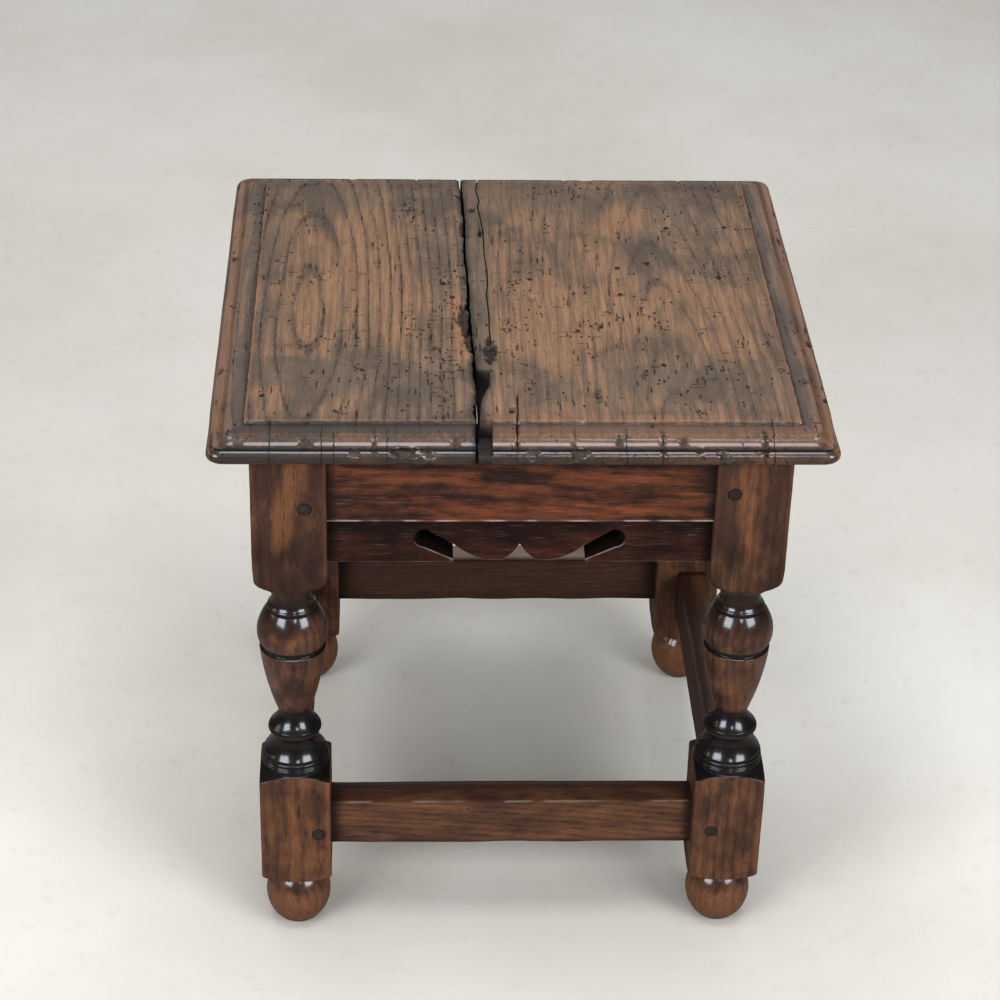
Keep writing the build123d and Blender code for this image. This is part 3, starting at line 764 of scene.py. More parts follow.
def make_apron(side, seed):
    columns = rail_columns(APRON_END)
    face = Outline(APRON_BACK, UNDERSIDE)
    face.line((APRON_FACE, UNDERSIDE), (APRON_FACE, FASCIA_FOOT + 1.5), (APRON_FACE, FASCIA_FOOT))
    face.line((APRON_FACE + 0.8, FASCIA_FOOT)).bow((BAND_FACE, BAND_TOP), -1.3, 0.7)
    back = np.array([(APRON_BACK, level) for level in (BAND_TOP, (BAND_TOP + UNDERSIDE) / 2, UNDERSIDE)])
    sheets = Sheets()
    sheets.grid(swept(face.eased(0.6, 4.0), columns))
    sheets.grid(swept(back, columns))
    # the pierced band: both faces, and the wall between them with its worn arrises
    edge = pierced_outline()
    lean = leaning(edge)
    in_slot = ramp(abs(edge[:, :1]), 43.0, 46.0) * ramp(edge[:, 1:] - APRON_BOTTOM, 1.0, 4.0)
    wall = []
    for inward, depth in PIERCED_WALL:
        shifted = edge - lean * (inward if inward > 0 else inward * in_slot)
        behind = np.full(len(edge), BAND_FACE + depth)
        wall.append(np.column_stack([shifted[:, 0], behind, shifted[:, 1]]))
    wall = np.array(wall)
    wall[:, 0, 0], wall[:, -1, 0] = -APRON_END, APRON_END
    sheets.grid(wall)
    top_line = np.column_stack([columns[::-1], np.full(len(columns), BAND_TOP)])
    levels = np.arange(APRON_BOTTOM + FILL_STEP, BAND_TOP - 2, FILL_STEP)
    filling = np.stack(np.meshgrid(columns[1:-1:2], levels), -1).reshape(-1, 2)
    for row, order in ((0, 1), (-1, -1)):
        loop = np.vstack([wall[row][:, [0, 2]], top_line])
        rim = [(i, (i + 1) % len(loop)) for i in range(len(loop))]
        dots = [Vector(p) for p in np.vstack([loop, filling])]
        points, _, faces, _, _, _ = delaunay_2d_cdt(dots, rim, [], 1, WELD)
        depth = wall[row][0, 1]
        sheets.polygons([(p.x, depth, p.y) for p in points], [f[::order] for f in faces])

    def move(local):
        wobble = 0.16 * lumps(local, (40, 40, 22), seed + 2) + 0.07 * lumps(local, (14, 14, 8), seed + 3)
        moved = local.copy()
        moved[:, 1] += wobble + 0.1
        return on_side(side, moved)

    def marks(local):
        along, into, level = local[:, 0], local[:, 1] - BAND_FACE, local[:, 2]
        at_end = ramp(abs(along), APRON_END - 11, APRON_END - 3)
        under = ramp(level, UNDERSIDE - 10, UNDERSIDE - 1)
        in_cove = ramp(abs(level - BAND_TOP - 2.0), 5.0, 1.0)
        inside = ramp(into, 0.5, 1.2)
        behind = ramp(into, 1.5, 5.0)
        speckle = blots(local, (7, 3, 3), seed + 6)
        # pale lines, part wear and part a painted glint: the fascia's lower arris, and the low arrises of
        # the piercing
        arris_wear_and_glint = ramp(abs(level - FASCIA_FOOT - 0.2), 0.8, 0.3) * (0.12 + 0.8 * ramp(speckle, 0.3, 0.7))
        cut = band(into, 0.05, 0.15, 0.7, 1.1) * ramp(level, BAND_TOP - 9, BAND_TOP - 13) * speckle
        wear_and_sheen = (arris_wear_and_glint + 0.8 * cut) * (1 - behind)
        # dirt at the ends, painted shade beneath the seat and inside the piercing, and darker in the cove
        dirt_and_shade = 0.5 * at_end + 0.6 * under + 0.35 * in_cove + 0.72 * inside
        on_band = ramp(level, FASCIA_FOOT, FASCIA_FOOT - 3) * (1 - behind)
        return {
            "dirt_and_shade": np.clip(dirt_and_shade, 0, 1),
            "wear_and_sheen": np.clip(wear_and_sheen, 0, 1),
            "polish": on_band * (1 - inside),
            "rubbed_and_bounce": 0.6 * lumps(local, (42, 20, 8), seed + 5) - 0.5 * behind,
        }

    name = f"apron_{side}"
    make_piece(name, [name], sheets, move, rail_figure(seed, 6.5), marks, RAIL_OAK)


def make_stretcher(side, seed):
    section = Outline(STRETCHER_BACK, STRETCHER_FLOOR)
    section.line(
        (STRETCHER_BACK, STRETCHER_TOP),
        (STRETCHER_FACE, STRETCHER_TOP),
        (STRETCHER_FACE, STRETCHER_FLOOR),
        (STRETCHER_BACK, STRETCHER_FLOOR),
        (STRETCHER_BACK, STRETCHER_FLOOR + 3),
    )
    # the run starts and ends on the same straight stretch of the back
    profile = section.eased(1.5, 3.0)[3:-1]
    sheets = Sheets()
    rail = swept(profile, rail_columns(STRETCHER_END)).transpose(1, 0, 2)
    sheets.grid(rail, closed=True, flip=True)

    def move(local):
        away = local[:, 1:] - STRETCHER_MIDDLE
        wobble = 0.35 * lumps(local, (50, 30, 30), seed + 2) + 0.12 * lumps(local, (14, 9, 9), seed + 3)
        corner = ramp(abs(away[:, 0]) / 12 + abs(away[:, 1]) / 18, 1.75, 1.95)
        worn = corner * (0.45 + 0.45 * lumps(local, (30, 40, 40), seed + 5))
        moved = local.copy()
        moved[:, 1:] -= away / np.maximum(np.hypot(*away.T), 1)[:, None] * (0.3 - wobble + worn)[:, None]
        return on_side(side, moved)

    def marks(local):
        along, inward, level = local.T
        corners = [STRETCHER_BACK, STRETCHER_TOP] - STRETCHER_MIDDLE
        corner = ramp(np.hypot(*(abs(local[:, 1:] - STRETCHER_MIDDLE) - corners).T), 1.4, 0.6)
        outer_top = (inward < STRETCHER_MIDDLE[0]) & (level > STRETCHER_MIDDLE[1])
        at_end = ramp(abs(along), STRETCHER_END - 12, STRETCHER_END - 3)
        on_top = ramp(level, STRETCHER_TOP - 2.0, STRETCHER_TOP - 0.8)
        blotch = blots(local, (22, 12, 12), seed + 4)
        # darker at the ends and along the bottom edge
        dirt_and_shade = 0.6 * at_end + 0.3 * ramp(level, STRETCHER_FLOOR + 4, STRETCHER_FLOOR)
        # a broken pale line along the outer top arris: wear with a painted glint
        wear_and_sheen = 0.4 * outer_top * corner * (0.3 + 0.7 * blotch) * (1 - at_end)
        wear_and_sheen *= ramp(lumps(local, (9, 4, 4), seed + 7), -0.3, 0.4)
        if side == "back":
            # a pale painted sheen on the back rail's top, where polish would reflect the bright room at a
            # low angle
            back_top_sheen = on_top * ramp(inward, STRETCHER_BACK - 1.5, STRETCHER_BACK - 8.0)
            wear_and_sheen = np.maximum(wear_and_sheen, back_top_sheen * (1 - at_end) * (0.45 + 0.3 * blotch))
        return {
            "dirt_and_shade": np.clip(dirt_and_shade, 0, 1),
            "wear_and_sheen": np.clip(wear_and_sheen, 0, 1),
            "polish": np.maximum(on_top, corner),
            "rubbed_and_bounce": 0.4 * lumps(local, (60, 12, 12), seed + 6) - 0.8 * (inward > STRETCHER_MIDDLE[0] + 2),
        }

    name = f"stretcher_{side}"
    figure = rail_figure(seed, 5.0)
    make_piece(name, [name], sheets, move, figure, marks, STRETCHER_OAK)


for rail_seed, rail_side in enumerate(OUTWARD, 20):
    make_apron(rail_side, rail_seed)
    make_stretcher(rail_side, rail_seed + 10)


# ------------------------------------------------------------------ pegs
PEG_SIDES = 28
# The domed head of a peg: share of its radius, and depth below the crown.
PEG_HEAD = [(0.0, 0.0), (0.45, 0.02), (0.75, 0.12), (0.90, 0.32), (0.97, 0.62), (1.0, 1.1)]


def make_peg(node, seed):
    """A riven peg: a little off round, with a domed and battered head."""
    low, high = node_box(node)
    size = high - low
    axis = int(np.argmax(size))
    upright = axis == 2
    radius, length = size.min() / 2, size[axis]
    middle = (low + high) / 2
    outward = 1.0 if upright else math.copysign(1.0, middle[axis])
    head = high[axis] if outward > 0 else low[axis]
    angle = np.linspace(0, math.tau, PEG_SIDES, endpoint=False)
    profile = np.array([*PEG_HEAD, (1.0, length * 0.8), (0.7, length), (0.0, length)])
    facets = 1 - 0.035 * (1 + np.cos(angle * 7 + seed)) - 0.02 * (1 + np.cos(angle * 3 + 2 * seed))
    out = profile[:, :1] * radius * facets[None, :]
    drop = np.broadcast_to(profile[:, 1:], out.shape)
    first, second = [i for i in range(3) if i != axis]
    points = np.zeros((*out.shape, 3))
    points[..., first] = middle[first] + out * np.cos(angle)
    points[..., second] = middle[second] + out * np.sin(angle)
    points[..., axis] = head - outward * drop
    sheets = Sheets()
    sheets.grid(points, closed=True)

    def move(flat):
        moved = flat.copy()
        near = ramp(abs(flat[:, axis] - head), 1.0, 0.0)
        battered = 0.16 + 0.16 * lumps(flat, 3.0, seed) + (0.5 if upright else 0)
        moved[:, axis] -= outward * near * battered
        return moved

    def off_axis(flat, beside=0.0):
        return np.hypot(flat[:, first] - middle[first] + beside, flat[:, second] - middle[second])

    def grain(flat):
        axes = np.stack([flat[:, first], flat[:, second], flat[:, axis] + 97.0 * seed], -1)
        return axes, off_axis(flat, 3) / 1.4

    def marks(flat):
        rim = ramp(off_axis(flat) / radius, 0.72, 0.95)
        deep = ramp(abs(flat[:, axis] - head), 0.3, 0.9)
        dirt_and_shade = 0.9 * deep + rim * 0.5 + (0.55 if upright else 0.15)
        return {"dirt_and_shade": np.clip(dirt_and_shade, 0, 1), "wear_and_sheen": 0 * rim, "polish": 0 * rim, "rubbed_and_bounce": 0 * rim}

    make_piece(node, [node], sheets, move, grain, marks, PEG_OAK)


peg_nodes = sorted(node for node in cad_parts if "_peg_" in node)
for peg_seed, peg_node in enumerate(peg_nodes):
    make_peg(peg_node, peg_seed)

# ------------------------------------------------------------------ top boards
# The joint between the boards, and the cracks and losses beside it, as x for each y.
JOINT_LINE = [
    (-195, -29.2), (-178, -29.6), (-163, -29.8), (-147, -28.2), (-134, -27.6), (-108, -28.2), (-92, -28.8),
    (-75, -29.3), (-54, -30.0), (-19, -30.4), (3, -30.3), (32, -30.6), (63, -31.6), (109, -30.7),
    (128, -31.0), (162, -31.6), (195, -32.3),
]
WEDGE_EDGE = [
    (-179, -28.0), (-177, -27.2), (-163, -26.7), (-147, -25.6), (-134, -22.2), (-126, -19.6), (-111, -19.2),
    (-107.5, -20.5), (-105, -26.0), (-103.5, -28.0),
]
SPLIT_LINE = [
    (-195, -17.6), (-64, -17.5), (-54, -17.9), (-33, -17.5), (-2, -18.3), (10, -17.1), (32, -17.0),
    (40, -17.3), (55, -18.1), (90, -17.8), (109, -18.9), (133, -20.7), (143, -19.3), (160, -21.3),
    (179, -19.7), (195, -19.4),
]
FRONT_CRACK = [(-195, -4.6), (-178, -4.4), (-160, -3.4), (-140, -2.9), (195, -2.0)]
JOINT_GAP = 1.3
JOINT_FOOT_GAP = 0.12
NOTCH_EDGE = -19.6
NOTCH_FLOOR = SEAT - 13.0
HALF_FIELD = HALF_SEAT - FIELD_INSET


def follow(line, y):
    places, values = zip(*line)
    return np.interp(y, places, values)


def moulding_outline():
    """The edge of the top from the field outwards: inset from the edge, and height."""
    channel = SEAT - CHANNEL_DEPTH
    ovolo_top = channel - 0.4
    ovolo_foot = ovolo_top - OVOLO_FALL
    nose_top = ovolo_foot - 1.1
    outline = Outline(FIELD_INSET + 0.6, SEAT)
    outline.line((FIELD_INSET, SEAT), (FIELD_INSET - 0.8, channel), (CHANNEL_INSET, ovolo_top))
    outline.bow((OVOLO_INSET, ovolo_foot), -2.4, 0.9)
    outline.line((OVOLO_INSET + QUIRK, ovolo_foot - 0.5), (NOSE_RETURN, nose_top))
    outline.through((0.0, (nose_top + UNDERSIDE) / 2), (NOSE_RETURN, UNDERSIDE), 0.9)
    return outline.eased(0.5, 2.0)


MOULDING = moulding_outline()


def worn_moulding():
    """The same edge at the sides and the back, worn to one wide round, point for point."""
    from_channel = MOULDING - (CHANNEL_INSET, SEAT - CHANNEL_DEPTH)
    kept = int(np.argmin(np.hypot(*from_channel.T)))
    outline = Outline(*MOULDING[kept])
    outline.bow((2.8, SEAT - 6.2), -0.7, 0.8).through((0.5, SEAT - 11.5), (2.4, UNDERSIDE), 0.8)
    round_edge = np.array(outline.points)
    along = run_of(round_edge)
    places = np.linspace(0, along[-1], len(MOULDING) - kept)
    resampled = [np.interp(places, along, values) for values in round_edge.T]
    return np.vstack([MOULDING[:kept], np.column_stack(resampled)])


WORN_MOULDING = worn_moulding()


def spaced(length, step, fine, reach):
    """Places from 0 to length, a step apart, and finer within reach of the far end."""
    coarse = np.arange(0, length - reach, step)
    close = np.linspace(length - reach, length, int(reach / fine) + 1)
    return np.unique(np.concatenate([coarse, close]))


def rounded_corner(points, inset):
    """Moves the points near a mitre of the ring at this inset onto the corner's arc."""
    radius = np.interp(inset, (0.0, CHANNEL_INSET, FIELD_INSET), CORNER_ROUNDS)
    core = HALF_SEAT - inset - radius
    away = np.abs(points[..., :2]) - core[..., None]
    outside = (away[..., 0] > 0) & (away[..., 1] > 0)
    long = np.maximum(np.hypot(away[..., 0], away[..., 1]), 1e-9)
    on_arc = core[..., None] + away * (radius / long)[..., None]
    moved = np.where(outside[..., None], on_arc * np.sign(points[..., :2]), points[..., :2])
    return np.concatenate([moved, points[..., 2:]], -1)


def joint_edge(side, y):
    """Where a board ends at the joint."""
    middle = follow(JOINT_LINE, y)
    along = np.stack([y, 0 * y, 0 * y], -1)
    ragged = 0.45 + 0.45 * lumps(along, 4.5, 88 + side) + 0.3 * lumps(along, 13.0, 92 + side)
    if side < 0:
        torn = 1.0 + 1.2 * ramp(abs(y + 90), 95, 60)
        return middle - JOINT_GAP / 2 - ragged * torn
    clean = middle + JOINT_GAP / 2 + 0.5 * ragged
    lost = (y > WEDGE_EDGE[0][0]) & (y < WEDGE_EDGE[-1][0])
    return np.where(lost, np.maximum(follow(WEDGE_EDGE, y), clean), clean)


def board_lines(side, y, outer, shares):
    """The x of each lengthwise line of a board's grid, from the joint to its outer end."""
    edge = joint_edge(side, y)
    if side < 0:
        near = edge - np.array([0, 0.3, 0.8, 1.5, 2.4, 3.4, 4.6, 6.0, 7.4, 8.9, 10.4])
    else:
        # a line lies in the split and in the crack, and one on each lip
        lip = 0.5
        split = np.maximum(follow(SPLIT_LINE, y), edge + 1.3)
        crack = follow(FRONT_CRACK, y)
        between = np.linspace(edge + 0.7, split - lip, 15)[1:]
        beyond = np.linspace(split + lip, crack - lip, 18)
        near = np.concatenate([edge + [0, 0.3, 0.7], between, [split], beyond, [crack, crack + lip]])
    return np.concatenate([near, near[-1] + (outer - near[-1]) * shares[1:]])


def dent(points, x, y, long, wide, depth):
    """How deep the bruise or gouge at this place is at each point."""
    away = np.hypot((points[:, 1] - y) / (long / 2), (points[:, 0] - x) / (wide / 2))
    ragged = 0.45 * lumps(points, (1.9, 3.2, 1.9), int(abs(x * 7 + y)) + 5)
    return depth * ramp(away + ragged, 1.2, 0.6)


def spread(points, areas):
    """The sum of soft patches, each given by x, y, its reach along x and along y, and its strength."""
    total = np.zeros(len(points))
    for x, y, reach_x, reach_y, strength in areas:
        away = ((points[:, 0] - x) / reach_x) ** 2 + ((points[:, 1] - y) / reach_y) ** 2
        total += strength * np.exp(-away)
    return total


# Bruises and gouges of the seat and of its edge: x, y, length along the grain, width and depth.
SEAT_DENTS = [
    (-18.4, -83.0, 34.0, 8.6, 4.2), (-34.5, -38.0, 44.0, 7.0, 2.6), (-32.6, -64.0, 26.0, 3.4, 2.0),
    (-33.2, 18.0, 30.0, 2.6, 1.2), (-33.0, 96.0, 26.0, 2.4, 1.4), (-33.6, 150.0, 10.0, 3.6, 1.6),
    (-24.6, 128.0, 9.0, 4.6, 1.8), (-20.4, 92.0, 18.0, 2.4, 2.2), (-6.2, -157.0, 12.0, 5.0, 1.5),
    (-8.0, -128.0, 8.0, 3.4, 1.2), (48.0, -137.0, 24.0, 4.6, 1.3), (-86.0, -117.0, 18.0, 2.0, 1.0),
    (85.0, -30.0, 5.0, 4.0, 1.2), (131.7, 95.6, 22.0, 2.2, 1.2), (-143.7, 22.8, 5.0, 4.4, 1.4),
    (20.0, 30.0, 16.0, 4.0, 0.7), (12.0, -8.0, 9.0, 5.0, 1.0), (94.0, 40.0, 26.0, 4.0, 0.7),
    (-60.0, -92.0, 12.0, 5.0, 0.7), (-128.0, -120.0, 6.0, 4.0, 0.8), (150.0, -20.0, 7.0, 3.0, 0.7),
]
EDGE_NICKS = [
    (-72.5, -192.5, 5.0, 15.0, 2.6), (-134.0, -187.0, 4.0, 7.0, 1.3), (-42.0, -187.0, 4.0, 5.0, 1.0),
    (34.0, -193.5, 5.0, 9.0, 1.7), (108.0, -192.0, 4.0, 4.0, 1.1), (58.0, -186.0, 4.0, 4.5, 1.0),
    (98.0, -186.5, 4.0, 5.0, 1.0), (-175.0, -188.0, 6.0, 5.0, 0.9), (-191.0, -100.0, 9.0, 4.0, 1.1),
    (-190.0, 60.0, 7.0, 5.0, 1.0), (191.5, -60.0, 8.0, 5.0, 1.2), (190.5, 90.0, 12.0, 3.0, 1.0),
    (60.0, 192.0, 4.0, 9.0, 1.2), (-110.0, 193.0, 4.0, 7.0, 1.1), (-104.0, -193.0, 4.0, 5.0, 1.2),
    (-58.0, -194.0, 4.0, 6.0, 1.3), (122.0, -194.0, 4.0, 7.0, 1.0), (5.0, -193.0, 4.0, 6.0, 1.2),
]
END_CHECKS = [
    (-1, -92.0, 22.0, 1.7, 1.1), (-1, 30.5, 20.0, 1.6, 1.0), (-1, 85.0, 18.0, 1.8, 1.2),
    (-1, 148.0, 19.0, 2.2, 1.8), (1, -64.0, 18.0, 1.5, 1.0), (1, 44.0, 15.0, 1.6, 1.0),
    (1, 127.0, 20.0, 1.6, 1.1),
]
# Soft areas of the seat: x, y, reach along x and along y, and strength.
WARM_AREAS = [
    (-137, -15, 15, 62, 0.7), (-92, 5, 26, 80, 0.45), (-60, -20, 16, 60, 0.25), (42, -40, 42, 62, 0.55),
    (78, 118, 22, 42, 0.35), (130, -60, 26, 60, 0.2), (-160, -138, 18, 8, 0.6), (-104, 60, 30, 40, 0.25),
]
GREY_AREAS = [
    (-135, 152, 60, 22, 0.55), (-112, -112, 52, 26, 0.7), (-52, 60, 14, 100, 0.45), (60, 148, 75, 22, 0.6),
    (98, -122, 66, 30, 0.6), (-23, 0, 7, 170, 0.6), (128, 100, 30, 60, 0.3), (-66, -140, 30, 30, 0.5),
    (-165, 20, 8, 90, 0.4), (92, 55, 16, 50, 0.35),
]
PITTED_AREAS = [
    (-50, -100, 22, 60, 0.9), (-42, 30, 10, 60, 0.6), (2, -5, 9, 55, 0.9), (38, -60, 40, 24, 0.5),
    (80, -20, 18, 40, 0.6), (110, -120, 60, 24, 0.6), (-90, -120, 40, 30, 0.4),
]


TOP_PEGS = [np.add(*node_box(node)) / 2 for node in peg_nodes if node.startswith("top_peg_")]
COARSE_STEP, FINE_STEP, FINE_REACH = 1.35, 0.6, 9.0
ROW_STEP = 1.55
RIM_DEPTHS = np.array([0.0, 0.12, 0.5, 1.0])


def make_board(name, side, seed):
    shares = spaced(150.0 if side < 0 else 190.0, COARSE_STEP, FINE_STEP, FINE_REACH)
    shares = shares / shares[-1]
    rows = spaced(2 * (HALF_SEAT - MOULDING[0, 0]), ROW_STEP, FINE_STEP, FINE_REACH)
    rows = np.unique(np.concatenate([rows, rows[-1] - rows])) - rows[-1] / 2
    rows = rows[np.concatenate([[True], np.diff(rows) > FINE_STEP / 2])]
    rows[-1] = -rows[0]
    fraction = (rows - rows[0]) / (rows[-1] - rows[0])

    def laid(places, insets, levels):
        """A strip of the board: a line of points across it for each y, inset and height."""
        strip = []
        for y, inset, level in zip(places, insets, levels):
            line = board_lines(side, y, side * (HALF_SEAT - inset), shares)
            strip.append(np.column_stack([line, np.full_like(line, y), np.full_like(line, level)]))
        strip = np.array(strip)
        return rounded_corner(strip, np.broadcast_to(np.reshape(insets, (-1, 1)), strip.shape[:2]))

    def end_strip(sign, section):
        return laid(sign * (HALF_SEAT - section[:, 0]), *section.T)

    field = laid(rows, np.full(len(rows), MOULDING[0, 0]), np.full(len(rows), SEAT))
    front, back = end_strip(-1, MOULDING), end_strip(1, WORN_MOULDING)
    # down the side the front's section passes into the worn one
    worn = ramp(fraction, 0.02, 0.14)[None, :, None]
    section = MOULDING[:, None] * (1 - worn) + WORN_MOULDING[:, None] * worn
    reach = HALF_SEAT - section[..., 0]
    side_strip = np.dstack([side * reach, reach * (2 * fraction[None, :] - 1), section[..., 1]])
    sheets = Sheets()
    for strip in (field, front, back, rounded_corner(side_strip, section[..., 0])):
        sheets.grid(strip)
    # the edge that faces the joint, from the seat down to the underside
    rim = np.vstack([front[::-1, 0], field[1:-1, 0], back[:, 0]])
    foot_y = np.clip(rim[:, 1], NOSE_RETURN - HALF_SEAT, HALF_SEAT - NOSE_RETURN)
    foot_x = follow(JOINT_LINE, foot_y) + side * JOINT_FOOT_GAP
    foot = np.column_stack([foot_x, foot_y, np.full_like(foot_x, UNDERSIDE)])
    steps = np.stack([RIM_DEPTHS**2, RIM_DEPTHS, RIM_DEPTHS], -1)[:, None, :]
    sheets.grid(rim[None] + (foot - rim)[None] * steps)

    def torn_lip(y, gap, far, near):
        """The torn stretch of the left board beside the joint."""
        return ramp(gap, far, near) * ramp(abs(y + 55), 55, 30) * (side < 0)

    def in_notch(x, y):
        """Where the piece lost from the front moulding was."""
        return (side > 0) & (y < 0.3 - HALF_FIELD) & (x < NOTCH_EDGE)

    def wear_down(flat):
        """How much the surface has lost at each point."""
        x, y, _ = flat.T
        gap = abs(x - joint_edge(side, y))
        lost = 0.30 + 0.22 * lumps(flat, 70.0, seed) + 0.10 * lumps(flat, (9, 40, 9), seed + 1)
        lost += (0.35 + 0.8 * blots(flat, (4, 7, 4), seed + 2)) * ramp(gap, 1.6, 0.1)
        lost += torn_lip(y, gap, 15.0, 3.0) * (0.45 + 0.75 * lumps(flat, (1.8, 6.0, 1.8), seed + 13))
        lost += sum(dent(flat, *place) for place in SEAT_DENTS)
        for peg_x, peg_y, _ in TOP_PEGS:
            lost += 0.25 * ramp(np.hypot(x - peg_x, y - peg_y), 3.9, 3.2)
        if side > 0:
            split = abs(x - follow(SPLIT_LINE, y))
            depth = 2.6 + 1.0 * lumps(flat, (30, 12, 30), seed + 3)
            lost += depth * ramp(split, 0.55, 0.0) * ramp(y, -75, -62)
            crack = abs(x - follow(FRONT_CRACK, y))
            lost += 3.0 * ramp(crack, 0.8, 0.0) * ramp(y, -136, -144)
        return lost

    def edge_loss(flat):
        """How deep the moulding is nicked and checked at each point."""
        x, y, _ = flat.T
        loss = sum(dent(flat, *place) for place in EDGE_NICKS)
        for sign, place, inward, wide, deep in END_CHECKS:
            away = abs(x - place - 0.9 * lumps(flat, (90, 5, 9), int(abs(place)) + 3))
            reaches = ramp(sign * y, HALF_SEAT - inward, HALF_SEAT - inward * 0.7)
            loss += deep * reaches * ramp(away, wide * 0.65, wide * 0.2)
        return loss

    def move(flat):
        x, y, z = flat.T
        border = HALF_SEAT - np.maximum(abs(x), abs(y))
        height = ramp(z, UNDERSIDE, UNDERSIDE + 6)
        nick = edge_loss(flat)
        # the edge wanders inward, and is bruised
        push = 0.28 + 0.22 * lumps(flat, 45.0, seed + 5) + 0.07 * lumps(flat, 7.0, seed + 6)
        push = (push + nick) * height
        # the line of the step wanders too
        stray = 0.55 * lumps(flat, 5.0, seed + 12) * ramp(abs(border - FIELD_INSET + 0.4), 2.4, 1.0)
        moved = flat.copy()
        for axis, strays in ((0, abs(x) > abs(y)), (1, abs(y) >= abs(x))):
            place = flat[:, axis]
            at_edge = ramp(abs(place), HALF_SEAT - 16, HALF_SEAT - 4)
            moved[:, axis] += np.sign(place) * (stray * strays - at_edge * push)
        moved[:, 2] -= wear_down(flat) * ramp(z, SEAT - 11, SEAT - 6) + 0.6 * nick * height
        notch = in_notch(x, y) & (z > NOTCH_FLOOR)
        moved[:, 2] = np.where(notch, NOTCH_FLOOR + 0.5 * lumps(flat, 3.0, seed + 7), moved[:, 2])
        moved[:, 2] = np.where(z <= UNDERSIDE + WELD, UNDERSIDE, moved[:, 2])
        return moved

    def grain(flat):
        x, y, z = flat.T
        axes = np.stack([x + 300.0 * seed, z - SEAT, y + 37.0 * seed], -1)
        sway = 2.0 * lumps(axes, (50, 50, 120), seed + 8)
        if side < 0:
            # the cut runs close to the pith, so the ring lines close round an island
            heart = np.sqrt((x + 136 + sway) ** 2 + (0.155 * (y + 27)) ** 2 + 25.0**2)
            rings = heart / 6.5 + 0.36
        else:
            depth = 12.0 + 0.10 * (y + HALF_SEAT)
            rings = np.sqrt((x - 98 + sway) ** 2 + depth**2) / 7.2
        return axes, rings + 0.12 * lumps(axes, (20, 20, 60), seed + 9)

    def marks(flat):
        x, y, z = flat.T
        lost, nick = wear_down(flat), edge_loss(flat)
        blotch = blots(flat, (26, 34, 26), seed + 11)
        speckle = blots(flat, 3.0, seed + 14)
        # parts of the board
        gap = abs(x - joint_edge(side, y))
        near_joint = ramp(gap + 1.6 * lumps(flat, (3, 9, 3), seed + 10), 4.5, 0.5)
        torn = torn_lip(y, gap, 14.0, 4.0)
        notch = in_notch(x, y)
        under = ramp(z, UNDERSIDE + 3, UNDERSIDE)
        in_field = np.maximum(abs(x), abs(y)) < HALF_FIELD - 1
        front_strip = ramp(-y, HALF_FIELD - 9, HALF_FIELD - 3) * (side > 0)
        # parts of the moulding, told by how far in from the edge they lie
        border = HALF_SEAT - np.maximum(abs(x), abs(y))
        at_front = (abs(y) >= abs(x)) & (y < 0)
        off_step = ramp(border, FIELD_INSET - 0.2, FIELD_INSET - 1.2)
        in_channel, strip = off_step * ramp(border, 9, 14), off_step * ramp(border, 15.5, 18.5)
        lip = ramp(abs(border - FIELD_INSET - 0.1), 0.9, 0.1) * (z > SEAT - 2)
        step_wall = ramp(abs(border - FIELD_INSET + 0.4), 0.6, 0.2) * ramp(z, SEAT - 0.4, SEAT - 1.0)
        step_foot = ramp(abs(border - FIELD_INSET + 1.3), 1.2, 0.3)
        crest = ramp(abs(border - 5.5), 4.0, 0.5) * ramp(z, SEAT - 9, SEAT - 6)
        quirk = ramp(abs(z - SEAT + 9.9), 1.3, 0.3) * ramp(border, 5, 4) * np.where(at_front, 1.0, 0.45)
        warm_channel = ramp(x + 60 * lumps(flat, (14, 90, 90), seed + 16), -60, 60)
        warm_channel *= in_channel * at_front
        # dirt lies in the joint, the dents, nicks and checks and beside the step; a painted shadow line
        # lies at the foot of the step, painted shade lies in the notch and on the underside, and the quirk
        # is darker
        dirt_and_shade = 0.8 * near_joint * (0.4 + 0.6 * speckle) + 0.95 * quirk + 0.6 * step_foot
        dirt_and_shade += in_field * ramp(z, SEAT - 0.3, SEAT - 1.6) + 0.12 * strip
        dirt_and_shade += in_channel * at_front * 0.3 * ramp(x, 20, -120)
        dirt_and_shade += 0.9 * ramp(lost, 1.0, 2.2) + notch + 0.9 * ramp(nick, 0.35, 1.0) + 0.5 * under
        dirt_and_shade += 0.25 * ramp(border, FIELD_INSET + 16, FIELD_INSET + 1) * (border > FIELD_INSET) * blotch
        # bare wood shows on the lip of the step, on the crest and where the joint has torn
        wear_and_sheen = lip * (0.25 + 0.75 * speckle) * np.where(at_front, 0.15, 0.8) + 0.12 * crest * blotch
        wear_and_sheen += 0.7 * torn * ramp(speckle, 0.45, 0.8)
        # hands have polished the edge, most of all the front
        edge_shine = np.where(at_front, ramp(border, 13, 8), 0.5 * ramp(border, 18.5, 15.5))
        channel_shine = in_channel * np.where(at_front, 0.9, 0.3)
        polish = np.maximum(edge_shine, np.maximum(channel_shine, step_wall * at_front))
        polish *= (1 - under) * (1 - notch) * (1 - ramp(nick, 0.3, 0.8))
